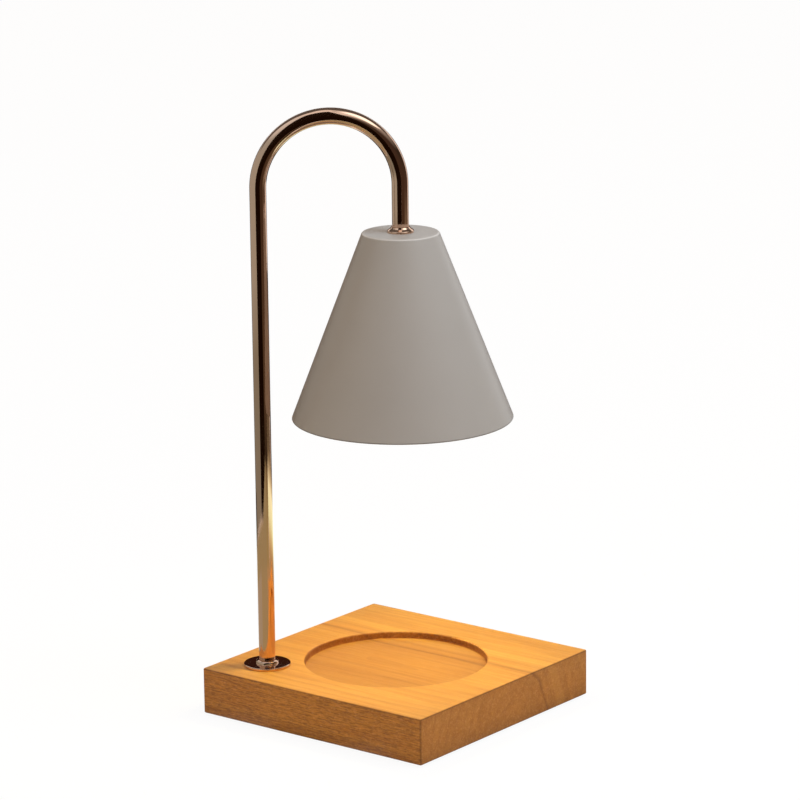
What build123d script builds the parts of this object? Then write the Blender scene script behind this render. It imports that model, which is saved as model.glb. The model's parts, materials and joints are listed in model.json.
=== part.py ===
from build123d import *
import os
from math import cos, hypot, radians, sin, sqrt

os.makedirs("parts", exist_ok=True)

# Candle warmer lamp. Millimetres, +Z up, origin on the floor under the middle of the base.
# +X runs along the wood's grain. The post stands in the corner at -X -Y and hooks over
# towards +X +Y.

# ---- base ------------------------------------------------------------------------------
base_side = 150.0          # square footprint
base_thickness = 25.5      # wood only
corner_round = 1.0         # upright edges of the block
top_edge_round = 0.8       # arris around the top face
bottom_edge_chamfer = 0.5
foot_d = 8.0               # rubber feet
foot_proud = 1.5
foot_inset = 8.0           # foot centre from the sides of the block
foot_chamfer = 0.4
recess_depth = 4.0         # jar recess
rim_round = 1.0            # round-over at the recess rim
recess_floor_round = 0.5
rim_land = 6.9             # flat wood between the foot flange and the recess rim

# ---- arm -------------------------------------------------------------------------------
post_inset = 25.0          # post axis from both sides of its corner
tube_d = 9.0
tube_wall = 1.0
bend_radius = 38.0         # centreline of the half-circle hook
post_rise = 264.4          # wood top to the start of the hook
drop_length = 26.0         # end of the hook to the shade's top face
thread_wall = 0.45         # tube left outside the tapped ends
thread_length = 10.0       # nipple inside the tube
thread_gap = 0.05          # radial
seat_gap = 0.05            # radial, tube in its sockets

flange_d = 25.6            # foot flange
flange_thickness = 1.6
flange_edge_round = 0.6
hub_wall = 1.5
hub_height = 3.9           # hub top above the wood
hub_round = 1.1
flange_web = 1.8           # metal under the tube's end

collar_d = 14.4            # collar on the shade
collar_wall = 0.8
collar_height = 2.6
collar_skirt = 1.0         # height where the collar flares out
collar_lip = 0.5
collar_web = 0.8           # metal under the tube's end

# ---- threaded ends ----------------------------------------------------------------------
nipple_wall = 0.9
nipple_proud = 1.0         # nipple beyond its nut
nut_wall = 2.5             # flat of the nut outside the thread
nut_thickness = 4.0
nut_chamfer = 0.4
lock_thickness = 1.0
lock_gap = 1.2             # cut in the spring washer
washer_hole_gap = 0.2      # radial
wood_hole_gap = 0.4        # radial
lower_washer_t = 1.5
lower_washer_room = 1.0    # washer's edge to the pocket's walls
upper_washer_t = 1.0
upper_washer_d = 17.0
bush_flange_t = 1.0
bush_flange_lip = 0.4      # flange inside the nipple's outer edge
bush_depth = 4.0
bush_edge_round = 0.3
lead_d = 2.0
lead_gap = 0.1             # between the two leads
lead_bush_gap = 0.15       # leads to the bush

# ---- shade -----------------------------------------------------------------------------
shade_height = 102.0
shade_top_d = 41.5
shade_bottom_d = 120.0
shade_wall = 1.2
shade_top_round = 2.0
shade_rim_round = 0.4

# ---- lamp holder ------------------------------------------------------------------------
bracket_t = 1.0
bracket_width = 10.0
bracket_drop = 20.0        # underside of its feet below its top face
bracket_inset = 0.5        # legs inside the holder's edge
bracket_foot_reach = 6.7
bracket_bend = 0.6
holder_d = 27.0
holder_height = 16.0
holder_cap_t = 4.0
holder_edge = 0.8
holder_web = 2.6           # slotted face
pin_circle_r = 5.0         # two pins 10 mm apart
pin_neck_d = 3.2
pin_head_d = 5.0
pin_head_h = 3.8
pin_head_chamfer = 0.6
pin_root = 3.5             # pin inside the bulb's base
pin_gap = 0.3              # pin heads and face, along the axis
slot_gap = 0.2             # radial, neck in its slot
entry_gap = 0.3            # radial, head in its entry hole
cavity_gap = 0.5           # radial, head in its cavity
twist = 45.0               # degrees from locked to free
screw_circle_r = 9.3
screw_d = 3.0
screw_hole_gap = 0.2       # radial
screw_head_d = 5.4
screw_head_h = 2.2
screw_head_chamfer = 0.5
screw_sink = 2.8
head_gap = 0.25            # radial
contact_t = 0.5
contact_width = 3.0
contact_inset = 1.0        # contact from the cavity's outer end
contact_lift = 0.4         # above the pin heads
cap_hole_gap = 0.3         # radial, lead in the cap

# ---- bulb ------------------------------------------------------------------------------
bulb_d = 50.0
bulb_length = 47.0         # lens to the shoulder of the pins
bulb_rim_h = 3.0
bulb_wall = 2.5            # radial, at the rim
bulb_shell = 3.0           # behind the mirror's vertex
bulb_base_gap = 0.15
neck_d = 16.0
neck_in_base = 7.0
base_block_w = 26.0        # ceramic base along the pins
base_block_t = 20.0
base_block_h = 14.0
base_block_round = 7.0
base_block_edge = 1.0
lens_t = 1.5
lens_inset = 0.2
lens_gap = 0.1             # radial
lens_seat = 1.0            # ledge behind the lens
capsule_d = 8.8
capsule_gap = 0.2          # radial, in the neck
capsule_wall = 0.8
capsule_tip = 15.0         # behind the lens face
capsule_pinch = 9.0        # solid end
filament_d = 1.8
filament_length = 5.0
filament_leg_d = 0.5
filament_leg_circle_r = 0.45

# ---- wiring pocket -----------------------------------------------------------------------
pocket_reach = 10.0        # post axis to the pocket's walls
pocket_length = 58.0
pocket_width = 36.0
pocket_depth = 17.0        # from the wood's underside
pocket_round = 6.0
ledge = 5.0                # seat of the cover
ledge_round = 4.0
cover_t = 2.0
cover_gap = 0.3
cover_screw_d = 2.9
cover_screw_length = 12.0
cover_screw_head_d = 5.6
cover_screw_inset = 4.2    # from the sides of the cover's seat
pilot_gap = 0.05           # radial
cross_width = 0.9
cross_depth = 1.0
cross_share = 0.72         # recess length over the head's width

gland_d = 10.0
gland_bore = 6.0
gland_head_d = 13.0
gland_head_t = 2.0
gland_gap = 0.05           # radial
gland_room = 9.0           # bore axis from the pocket's far wall
gland_edge = 0.6

pole_pitch = 11.0
tower_width = 6.4
tower_height = 8.0
tower_round = 1.2
block_foot_t = 2.0
block_length = 18.0
block_turn_room = 8.0      # for the cord's cores behind the block
barrel_d = 4.6
barrel_bore = 3.0
barrel_inset = 1.5         # from the ends of the tower
barrel_gap = 0.05
clamp_screw_d = 2.4
clamp_screw_gap = 0.05
clamp_screw_sink = 0.6
clamp_screw_offset = 4.0   # from the middle of the block
clamp_clear = 0.1          # tip of the screw to the lead
slot_width = 0.6
slot_depth = 0.6
block_screw_d = 2.2
block_screw_head_d = 4.2
block_screw_head_h = 1.4
block_screw_chamfer = 0.5
block_screw_length = 5.4

# ---- leads ------------------------------------------------------------------------------
lead_lift = 0.5            # above the cover
lead_run = 8.0             # level run under the nipple, along the arm
lead_turn = 4.0            # radius of the turn under the nipple
lead_bend = 4.0            # radius of the gentler bends
lead_entry = 5.0           # straight stretch in front of the barrel
lead_in_barrel = 6.0
lead_straight_cap = 3.0    # straight stretch above the holder's cap
lead_straight_bush = 1.0   # straight stretch below the upper bush

# ---- levels and places worked out from the sizes -------------------------------------------
wood_bottom = foot_proud
wood_top = wood_bottom + base_thickness
post_x = -base_side / 2 + post_inset
post_y = post_x
hook_step = 2 * bend_radius / sqrt(2)
drop_x = post_x + hook_step
drop_y = post_y + hook_step
spring_z = wood_top + post_rise
shade_top = spring_z - drop_length
tube_foot = wood_top + flange_web
tube_tip = shade_top + collar_web
tube_bore = tube_d - 2 * tube_wall

nipple_d = tube_d - 2 * (thread_wall + thread_gap)
nipple_bore = nipple_d - 2 * nipple_wall
nut_flats = nipple_d + 2 * nut_wall
socket_d = tube_d + 2 * seat_gap
nipple_hole_d = nipple_d + 2 * washer_hole_gap
lead_offset = (lead_d + lead_gap) / 2
bush_bore = 2 * lead_d + lead_gap + 2 * lead_bush_gap

hub_d = socket_d + 2 * hub_wall
recess_r = hypot(post_x, post_y) - flange_d / 2 - rim_land - rim_round

pocket_roof = wood_bottom + pocket_depth
cover_top = wood_bottom + cover_t
pocket_x0 = post_x - pocket_reach
pocket_y0 = post_y - pocket_reach
pocket_x1 = pocket_x0 + pocket_length
pocket_y1 = pocket_y0 + pocket_width
pocket_x = (pocket_x0 + pocket_x1) / 2
pocket_y = (pocket_y0 + pocket_y1) / 2
seat_length = pocket_length + 2 * ledge
seat_width = pocket_width + 2 * ledge
lower_washer_d = 2 * (pocket_reach - lower_washer_room)

upper_washer_z = shade_top - shade_wall - upper_washer_t
bracket_top = upper_washer_z
bracket_foot_z = bracket_top - bracket_drop
cap_top = bracket_foot_z
holder_top = cap_top - holder_cap_t
holder_face = holder_top - holder_height
bulb_shoulder = holder_face - pin_gap
bulb_front = bulb_shoulder - bulb_length
pin_head_z = holder_face + holder_web + pin_gap

# Both ends of the tube face down. Each clamps its stack with the same hardware:
# (x, y, end of the tube, underside of what is clamped)
lower_clamp_z = pocket_roof - lower_washer_t
upper_clamp_z = bracket_top - bracket_t
tube_ends = {
    "lower": (post_x, post_y, tube_foot, lower_clamp_z),
    "upper": (drop_x, drop_y, tube_tip, upper_clamp_z),
}

# Directions in plan: the hook runs along arm_dir, the leads and pins lie along side_dir.
arm_dir = Vector(1, 1, 0).normalized()
side_dir = Vector(1, -1, 0).normalized()


def holder_plane(z, turn=0.0):
    """Horizontal plane on the shade's axis with its x along the pins, turned by some degrees."""
    x_dir = side_dir * cos(radians(turn)) + arm_dir * sin(radians(turn))
    return Plane(origin=(drop_x, drop_y, z), x_dir=x_dir, z_dir=(0, 0, 1))


def down_plane(x, y, z):
    """Plane that looks down, for fasteners driven in from below."""
    return Plane(origin=(x, y, z), x_dir=(1, 0, 0), z_dir=(0, 0, -1))


# The screws of the holder stand midway between the two curved slots.
screw_turn = 90.0 - twist / 2

# ---- wooden block ----------------------------------------------------------------------
cover_screw_x = seat_length / 2 - cover_screw_inset
cover_screw_y = seat_width / 2 - cover_screw_inset
cover_screw_planes = [
    down_plane(pocket_x + sx * cover_screw_x, pocket_y + sy * cover_screw_y, wood_bottom)
    for sx in (-1, 1)
    for sy in (-1, 1)
]
gland_y = pocket_y1 - gland_room
gland_z = (cover_top + pocket_roof) / 2
gland_length = pocket_x0 + base_side / 2
gland_plane = Plane(origin=(-base_side / 2, gland_y, gland_z), x_dir=(0, -1, 0), z_dir=(-1, 0, 0))
block_x = pocket_x1 - block_turn_room - block_length / 2
block_y = pocket_y
pole_ys = [block_y - pole_pitch / 2, block_y + pole_pitch / 2]

with BuildPart() as base_block:
    with BuildSketch(Plane.XY.offset(wood_bottom)):
        RectangleRounded(base_side, base_side, corner_round)
    extrude(amount=base_thickness)
    fillet(base_block.faces().sort_by(Axis.Z)[-1].edges(), radius=top_edge_round)
    chamfer(base_block.faces().sort_by(Axis.Z)[0].edges(), length=bottom_edge_chamfer)
    # jar recess with a rounded rim
    with BuildSketch(Plane.XY.offset(wood_top)):
        Circle(recess_r)
    extrude(amount=-recess_depth, mode=Mode.SUBTRACT)
    wide_circles = base_block.edges().filter_by(GeomType.CIRCLE).group_by(SortBy.RADIUS)[-1]
    fillet(wide_circles.sort_by(Axis.Z)[0], radius=recess_floor_round)
    wide_circles = base_block.edges().filter_by(GeomType.CIRCLE).group_by(SortBy.RADIUS)[-1]
    fillet(wide_circles.sort_by(Axis.Z)[-1], radius=rim_round)
    # seat of the cover and the wiring pocket above it
    with BuildSketch(Plane.XY.offset(wood_bottom)):
        with Locations((pocket_x, pocket_y)):
            RectangleRounded(seat_length, seat_width, ledge_round)
    extrude(amount=cover_t, mode=Mode.SUBTRACT)
    with BuildSketch(Plane.XY.offset(wood_bottom)):
        with Locations((pocket_x, pocket_y)):
            RectangleRounded(pocket_length, pocket_width, pocket_round)
    extrude(amount=pocket_depth, mode=Mode.SUBTRACT)
    # hole for the nipple under the post
    with BuildSketch(Plane.XY.offset(pocket_roof)):
        with Locations((post_x, post_y)):
            Circle(nipple_d / 2 + wood_hole_gap)
    extrude(amount=wood_top - pocket_roof, mode=Mode.SUBTRACT)
    # stepped hole for the cord's gland, from the side into the pocket
    with BuildSketch(gland_plane):
        Circle(gland_d / 2 + gland_gap)
    extrude(amount=-gland_length, mode=Mode.SUBTRACT)
    with BuildSketch(gland_plane):
        Circle(gland_head_d / 2 + gland_gap)
    extrude(amount=-gland_head_t, mode=Mode.SUBTRACT)
    # pilot holes
    with BuildSketch(Plane.XY.offset(cover_top)):
        with Locations((pocket_x, pocket_y)):
            with GridLocations(2 * cover_screw_x, 2 * cover_screw_y, 2, 2):
                Circle(cover_screw_d / 2 + pilot_gap)
    extrude(amount=cover_screw_length - cover_t + pilot_gap, mode=Mode.SUBTRACT)
    with BuildSketch(Plane.XY.offset(pocket_roof)):
        with Locations((block_x, block_y)):
            Circle(block_screw_d / 2 + pilot_gap)
    extrude(amount=block_screw_length - block_foot_t + pilot_gap, mode=Mode.SUBTRACT)
base_block.part.label = "base_block"
export_step(base_block.part, "parts/base_block.step")

# ---- cover of the wiring pocket ------------------------------------------------------------
cover_screw_head_h = (cover_screw_head_d - cover_screw_d) / 2

with BuildPart() as base_cover:
    with BuildSketch(Plane.XY.offset(wood_bottom)):
        with Locations((pocket_x, pocket_y)):
            RectangleRounded(
                seat_length - 2 * cover_gap, seat_width - 2 * cover_gap, ledge_round - cover_gap
            )
    extrude(amount=cover_t)
    with Locations(*cover_screw_planes):
        CounterSinkHole(
            radius=cover_screw_d / 2 + pilot_gap,
            counter_sink_radius=cover_screw_head_d / 2 + pilot_gap,
            depth=cover_t,
            counter_sink_angle=90,
        )
base_cover.part.label = "base_cover"
export_step(base_cover.part, "parts/base_cover.step")

with BuildPart() as cover_screws:
    with Locations(*cover_screw_planes):
        Cylinder(
            radius=cover_screw_d / 2,
            height=cover_screw_length,
            align=(Align.CENTER, Align.CENTER, Align.MAX),
        )
        Cone(
            bottom_radius=cover_screw_d / 2,
            top_radius=cover_screw_head_d / 2,
            height=cover_screw_head_h,
            align=(Align.CENTER, Align.CENTER, Align.MAX),
        )
        for cross_turn in (0, 90):
            Box(
                cross_share * cover_screw_head_d,
                cross_width,
                cross_depth,
                rotation=(0, 0, cross_turn),
                align=(Align.CENTER, Align.CENTER, Align.MAX),
                mode=Mode.SUBTRACT,
            )
cover_screws.part.label = "cover_screws"
export_step(cover_screws.part, "parts/cover_screws.step")

# ---- feet ------------------------------------------------------------------------------
foot_pitch = base_side - 2 * foot_inset

with BuildPart() as rubber_feet:
    with BuildSketch(Plane.XY):
        with GridLocations(foot_pitch, foot_pitch, 2, 2):
            Circle(foot_d / 2)
    extrude(amount=foot_proud)
    chamfer(rubber_feet.edges().group_by(Axis.Z)[0], length=foot_chamfer)
rubber_feet.part.label = "rubber_feet"
export_step(rubber_feet.part, "parts/rubber_feet.step")

# ---- cord gland ------------------------------------------------------------------------
with BuildPart() as cord_gland:
    with BuildSketch(gland_plane):
        Circle(gland_head_d / 2)
    extrude(amount=-gland_head_t)
    with BuildSketch(gland_plane):
        Circle(gland_d / 2)
    extrude(amount=-gland_length)
    with BuildSketch(gland_plane):
        Circle(gland_bore / 2)
    extrude(amount=-gland_length, mode=Mode.SUBTRACT)
    outer_edges = cord_gland.edges().filter_by(GeomType.CIRCLE).group_by(Axis.X)[0]
    chamfer(outer_edges.sort_by(SortBy.RADIUS)[-1], length=gland_edge)
cord_gland.part.label = "cord_gland"
export_step(cord_gland.part, "parts/cord_gland.step")

# ---- terminal block --------------------------------------------------------------------
block_foot_z = pocket_roof - block_foot_t
tower_z = block_foot_z - tower_height
barrel_z = tower_z + tower_height / 2
barrel_length = block_length - 2 * barrel_inset
block_width = pole_pitch + tower_width
barrel_x = block_x - block_length / 2 + barrel_inset
barrel_planes = [
    Plane(origin=(barrel_x, y, barrel_z), x_dir=(0, 1, 0), z_dir=(1, 0, 0)) for y in pole_ys
]
clamp_points = [
    (block_x + sx * clamp_screw_offset, y) for y in pole_ys for sx in (-1, 1)
]
clamp_tip_z = barrel_z - lead_d / 2 - clamp_clear
clamp_head_z = tower_z + clamp_screw_sink

with BuildPart() as terminal_block:
    with BuildSketch(Plane.XY.offset(block_foot_z)):
        with Locations((block_x, block_y)):
            Rectangle(block_length, block_width)
    extrude(amount=block_foot_t)
    for y in pole_ys:
        with BuildSketch(Plane.XY.offset(tower_z)):
            with Locations((block_x, y)):
                RectangleRounded(block_length, tower_width, tower_round)
        extrude(amount=tower_height)
    # bores for the brass barrels, narrowed at both ends to hold them
    for plane in barrel_planes:
        with BuildSketch(plane.offset(-barrel_gap)):
            Circle(barrel_d / 2 + barrel_gap)
        extrude(amount=barrel_length + 2 * barrel_gap, mode=Mode.SUBTRACT)
        with BuildSketch(plane.offset(-barrel_inset)):
            Circle(barrel_bore / 2)
        extrude(amount=block_length, mode=Mode.SUBTRACT)
    with BuildSketch(Plane.XY.offset(tower_z)):
        with Locations(*clamp_points):
            Circle(clamp_screw_d / 2 + clamp_screw_gap)
    extrude(amount=tower_height / 2, mode=Mode.SUBTRACT)
    with BuildSketch(Plane.XY.offset(block_foot_z)):
        with Locations((block_x, block_y)):
            Circle(block_screw_d / 2 + pilot_gap)
    extrude(amount=block_foot_t, mode=Mode.SUBTRACT)
terminal_block.part.label = "terminal_block"
export_step(terminal_block.part, "parts/terminal_block.step")

with BuildPart() as terminal_barrels:
    for plane in barrel_planes:
        with BuildSketch(plane):
            Circle(barrel_d / 2)
            Circle(barrel_bore / 2, mode=Mode.SUBTRACT)
        extrude(amount=barrel_length)
    with BuildSketch(Plane.XY.offset(barrel_z)):
        with Locations(*clamp_points):
            Circle(clamp_screw_d / 2 + clamp_screw_gap)
    extrude(amount=-barrel_d, mode=Mode.SUBTRACT)
terminal_barrels.part.label = "terminal_barrels"
export_step(terminal_barrels.part, "parts/terminal_barrels.step")

with BuildPart() as terminal_screws:
    with BuildSketch(Plane.XY.offset(clamp_head_z)):
        with Locations(*clamp_points):
            Circle(clamp_screw_d / 2)
    extrude(amount=clamp_tip_z - clamp_head_z)
    with BuildSketch(Plane.XY.offset(clamp_head_z)):
        with Locations(*clamp_points):
            Rectangle(slot_width, clamp_screw_d + slot_width)
    extrude(amount=slot_depth, mode=Mode.SUBTRACT)
terminal_screws.part.label = "terminal_screws"
export_step(terminal_screws.part, "parts/terminal_screws.step")

with BuildPart() as block_screw:
    with BuildSketch(Plane.XY.offset(block_foot_z)):
        with Locations((block_x, block_y)):
            Circle(block_screw_head_d / 2)
    extrude(amount=-block_screw_head_h)
    chamfer(block_screw.edges().group_by(Axis.Z)[0], length=block_screw_chamfer)
    with BuildSketch(Plane.XY.offset(block_foot_z)):
        with Locations((block_x, block_y)):
            Circle(block_screw_d / 2)
    extrude(amount=block_screw_length)
    with BuildSketch(Plane.XY.offset(block_foot_z - block_screw_head_h)):
        with Locations((block_x, block_y)):
            Rectangle(block_screw_head_d + slot_width, slot_width)
    extrude(amount=slot_depth, mode=Mode.SUBTRACT)
block_screw.part.label = "block_screw"
export_step(block_screw.part, "parts/block_screw.step")

# ---- foot flange -----------------------------------------------------------------------
with BuildPart() as foot_flange:
    with BuildSketch(Plane.XY.offset(wood_top)):
        with Locations((post_x, post_y)):
            Circle(flange_d / 2)
    extrude(amount=flange_thickness)
    fillet(foot_flange.edges().group_by(Axis.Z)[-1], radius=flange_edge_round)
    with BuildSketch(Plane.XY.offset(wood_top)):
        with Locations((post_x, post_y)):
            Circle(hub_d / 2)
    extrude(amount=hub_height)
    fillet(foot_flange.edges().group_by(Axis.Z)[-1], radius=hub_round)
    with BuildSketch(Plane.XY.offset(tube_foot)):
        with Locations((post_x, post_y)):
            Circle(socket_d / 2)
    extrude(amount=hub_height, mode=Mode.SUBTRACT)
    with BuildSketch(Plane.XY.offset(wood_top)):
        with Locations((post_x, post_y)):
            Circle(nipple_hole_d / 2)
    extrude(amount=hub_height, mode=Mode.SUBTRACT)
foot_flange.part.label = "foot_flange"
export_step(foot_flange.part, "parts/foot_flange.step")

# ---- bent tube -------------------------------------------------------------------------
with BuildPart() as arm_tube:
    with BuildLine():
        post_line = Line((post_x, post_y, tube_foot), (post_x, post_y, spring_z))
        hook_arc = ThreePointArc(
            post_line @ 1,
            ((post_x + drop_x) / 2, (post_y + drop_y) / 2, spring_z + bend_radius),
            (drop_x, drop_y, spring_z),
        )
        Line(hook_arc @ 1, (drop_x, drop_y, tube_tip))
    with BuildSketch(Plane(origin=post_line @ 0, x_dir=(1, 0, 0), z_dir=(0, 0, 1))):
        Circle(tube_d / 2)
        Circle(tube_bore / 2, mode=Mode.SUBTRACT)
    sweep()
    # tapped ends
    for x, y, end_z, clamp_z in tube_ends.values():
        with BuildSketch(Plane.XY.offset(end_z)):
            with Locations((x, y)):
                Circle(nipple_d / 2 + thread_gap)
        extrude(amount=thread_length, mode=Mode.SUBTRACT)
arm_tube.part.label = "arm_tube"
export_step(arm_tube.part, "parts/arm_tube.step")

# ---- nipple, spring washer, nut and bush at each end of the tube -----------------------------
for end_name, (x, y, end_z, clamp_z) in tube_ends.items():
    nut_z = clamp_z - lock_thickness - nut_thickness
    nipple_z = nut_z - nipple_proud

    with BuildPart() as nipple:
        with BuildSketch(Plane.XY.offset(nipple_z)):
            with Locations((x, y)):
                Circle(nipple_d / 2)
                Circle(nipple_bore / 2, mode=Mode.SUBTRACT)
        extrude(amount=end_z + thread_length - nipple_z)
    nipple.part.label = f"{end_name}_nipple"
    export_step(nipple.part, f"parts/{end_name}_nipple.step")

    with BuildPart() as lock_washer:
        with BuildSketch(Plane.XY.offset(clamp_z - lock_thickness)):
            with Locations((x, y)):
                Circle(nut_flats / 2)
                Circle(nipple_hole_d / 2, mode=Mode.SUBTRACT)
            with Locations((x + nut_flats / 2, y)):
                Rectangle(nut_flats, lock_gap, mode=Mode.SUBTRACT)
        extrude(amount=lock_thickness)
    lock_washer.part.label = f"{end_name}_lock_washer"
    export_step(lock_washer.part, f"parts/{end_name}_lock_washer.step")

    with BuildPart() as nut:
        with BuildSketch(Plane.XY.offset(nut_z)):
            with Locations((x, y)):
                RegularPolygon(nut_flats / 2, 6, major_radius=False)
        extrude(amount=nut_thickness)
        chamfer(nut.faces().sort_by(Axis.Z)[0].edges(), length=nut_chamfer)
        with BuildSketch(Plane.XY.offset(nut_z)):
            with Locations((x, y)):
                Circle(nipple_d / 2 + thread_gap)
        extrude(amount=nut_thickness, mode=Mode.SUBTRACT)
    nut.part.label = f"{end_name}_nut"
    export_step(nut.part, f"parts/{end_name}_nut.step")

    with BuildPart() as bush:
        with BuildSketch(Plane.XY.offset(nipple_z - bush_flange_t)):
            with Locations((x, y)):
                Circle(nipple_d / 2 - bush_flange_lip)
        extrude(amount=bush_flange_t)
        fillet(bush.edges().group_by(Axis.Z)[0], radius=bush_edge_round)
        with BuildSketch(Plane.XY.offset(nipple_z)):
            with Locations((x, y)):
                Circle(nipple_bore / 2 - thread_gap)
        extrude(amount=bush_depth)
        with BuildSketch(Plane.XY.offset(nipple_z - bush_flange_t)):
            with Locations((x, y)):
                Circle(bush_bore / 2)
        extrude(amount=bush_flange_t + bush_depth, mode=Mode.SUBTRACT)
    bush.part.label = f"{end_name}_bush"
    export_step(bush.part, f"parts/{end_name}_bush.step")

# ---- flat washers: (plan position, underside, diameter, thickness) ----------------------------
flat_washers = {
    "lower": (post_x, post_y, pocket_roof - lower_washer_t, lower_washer_d, lower_washer_t),
    "upper": (drop_x, drop_y, upper_washer_z, upper_washer_d, upper_washer_t),
}
for end_name, (x, y, z, diameter, thickness) in flat_washers.items():
    with BuildPart() as washer:
        with BuildSketch(Plane.XY.offset(z)):
            with Locations((x, y)):
                Circle(diameter / 2)
                Circle(nipple_hole_d / 2, mode=Mode.SUBTRACT)
        extrude(amount=thickness)
    washer.part.label = f"{end_name}_washer"
    export_step(washer.part, f"parts/{end_name}_washer.step")

# ---- shade and its collar ------------------------------------------------------------------
shade_axis = Axis((drop_x, drop_y, 0), (0, 0, 1))
axis_plane = Plane(origin=(drop_x, drop_y, shade_top), x_dir=arm_dir, z_dir=side_dir)
cone_run = (shade_bottom_d - shade_top_d) / 2
cone_slant = hypot(cone_run, shade_height)
wall_across = shade_wall * cone_slant / shade_height   # wall thickness measured level
inner_top_r = shade_top_d / 2 + shade_wall * cone_run / shade_height - wall_across
inner_rim_r = shade_bottom_d / 2 - wall_across

with BuildPart() as shade_collar:
    with BuildSketch(axis_plane):
        with BuildLine():
            Polyline(
                (nipple_hole_d / 2, 0),
                (collar_d / 2, 0),
                (collar_d / 2, collar_lip),
                (socket_d / 2 + collar_wall, collar_skirt + collar_lip),
                (socket_d / 2 + collar_wall, collar_height),
                (socket_d / 2, collar_height),
                (socket_d / 2, collar_web),
                (nipple_hole_d / 2, collar_web),
                close=True,
            )
        make_face()
    revolve(axis=shade_axis)
shade_collar.part.label = "shade_collar"
export_step(shade_collar.part, "parts/shade_collar.step")

with BuildPart() as shade:
    with BuildSketch(axis_plane):
        with BuildLine():
            Polyline(
                (nipple_hole_d / 2, 0),
                (shade_top_d / 2, 0),
                (shade_bottom_d / 2, -shade_height),
                (inner_rim_r, -shade_height),
                (inner_top_r, -shade_wall),
                (nipple_hole_d / 2, -shade_wall),
                close=True,
            )
        make_face()
    revolve(axis=shade_axis)
    fillet(shade.edges().group_by(Axis.Z)[-1].sort_by(SortBy.RADIUS)[-1], radius=shade_top_round)
    fillet(shade.edges().group_by(Axis.Z)[0], radius=shade_rim_round)
shade.part.label = "shade"
export_step(shade.part, "parts/shade.step")

# ---- strap that carries the lamp holder --------------------------------------------------------
leg_outer = holder_d / 2 - bracket_inset
bracket_plane = Plane(
    origin=(drop_x, drop_y, bracket_top),
    x_dir=holder_plane(0, screw_turn).x_dir,
    z_dir=-holder_plane(0, screw_turn).y_dir,
)

with BuildPart() as holder_bracket:
    with BuildSketch(bracket_plane):
        with BuildLine():
            Polyline(
                (-leg_outer + bracket_foot_reach, -bracket_drop),
                (-leg_outer, -bracket_drop),
                (-leg_outer, 0),
                (leg_outer, 0),
                (leg_outer, -bracket_drop),
                (leg_outer - bracket_foot_reach, -bracket_drop),
                (leg_outer - bracket_foot_reach, -bracket_drop + bracket_t),
                (leg_outer - bracket_t, -bracket_drop + bracket_t),
                (leg_outer - bracket_t, -bracket_t),
                (-leg_outer + bracket_t, -bracket_t),
                (-leg_outer + bracket_t, -bracket_drop + bracket_t),
                (-leg_outer + bracket_foot_reach, -bracket_drop + bracket_t),
                close=True,
            )
        make_face()
    extrude(amount=bracket_width / 2, both=True)
    bend_edges = holder_bracket.edges().filter_by(Axis(origin=(0, 0, 0), direction=bracket_plane.z_dir))
    fillet(bend_edges.group_by(Axis.Z)[-1], radius=bracket_bend + bracket_t)
    with BuildSketch(holder_plane(bracket_top)):
        Circle(nipple_hole_d / 2)
    extrude(amount=-bracket_t, mode=Mode.SUBTRACT)
    with BuildSketch(holder_plane(bracket_foot_z, screw_turn)):
        with PolarLocations(screw_circle_r, 2):
            Circle(screw_d / 2 + pilot_gap)
    extrude(amount=bracket_t, mode=Mode.SUBTRACT)
holder_bracket.part.label = "holder_bracket"
export_step(holder_bracket.part, "parts/holder_bracket.step")

# ---- ceramic lamp holder -----------------------------------------------------------------------
slot_width_neck = pin_neck_d + 2 * slot_gap
entry_d = pin_head_d + 2 * entry_gap
cavity_width = pin_head_d + 2 * cavity_gap
cavity_outer = pin_circle_r + cavity_width / 2
twist_arcs = [
    CenterArc((0, 0), pin_circle_r, start - twist, twist, mode=Mode.PRIVATE) for start in (0, 180)
]

with BuildPart() as lamp_holder:
    with BuildSketch(holder_plane(holder_face)):
        Circle(holder_d / 2)
    extrude(amount=holder_height)
    chamfer(lamp_holder.edges().group_by(Axis.Z)[0], length=holder_edge)
    # contact space, open at the back
    with BuildSketch(holder_plane(holder_face + holder_web)):
        for arc in twist_arcs:
            SlotArc(arc, cavity_width)
    extrude(amount=holder_height, mode=Mode.SUBTRACT)
    # curved slots for the pins' necks, with a round entry for the heads
    with BuildSketch(holder_plane(holder_face)):
        for arc in twist_arcs:
            SlotArc(arc, slot_width_neck)
    extrude(amount=holder_web, mode=Mode.SUBTRACT)
    with BuildSketch(holder_plane(holder_face, -twist)):
        with PolarLocations(pin_circle_r, 2):
            Circle(entry_d / 2)
    extrude(amount=holder_web, mode=Mode.SUBTRACT)
    # counterbored screw holes
    with BuildSketch(holder_plane(holder_face, screw_turn)):
        with PolarLocations(screw_circle_r, 2):
            Circle(screw_d / 2 + screw_hole_gap)
    extrude(amount=holder_height, mode=Mode.SUBTRACT)
    with BuildSketch(holder_plane(holder_face, screw_turn)):
        with PolarLocations(screw_circle_r, 2):
            Circle(screw_head_d / 2 + head_gap)
    extrude(amount=screw_sink, mode=Mode.SUBTRACT)
lamp_holder.part.label = "lamp_holder"
export_step(lamp_holder.part, "parts/lamp_holder.step")

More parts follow.
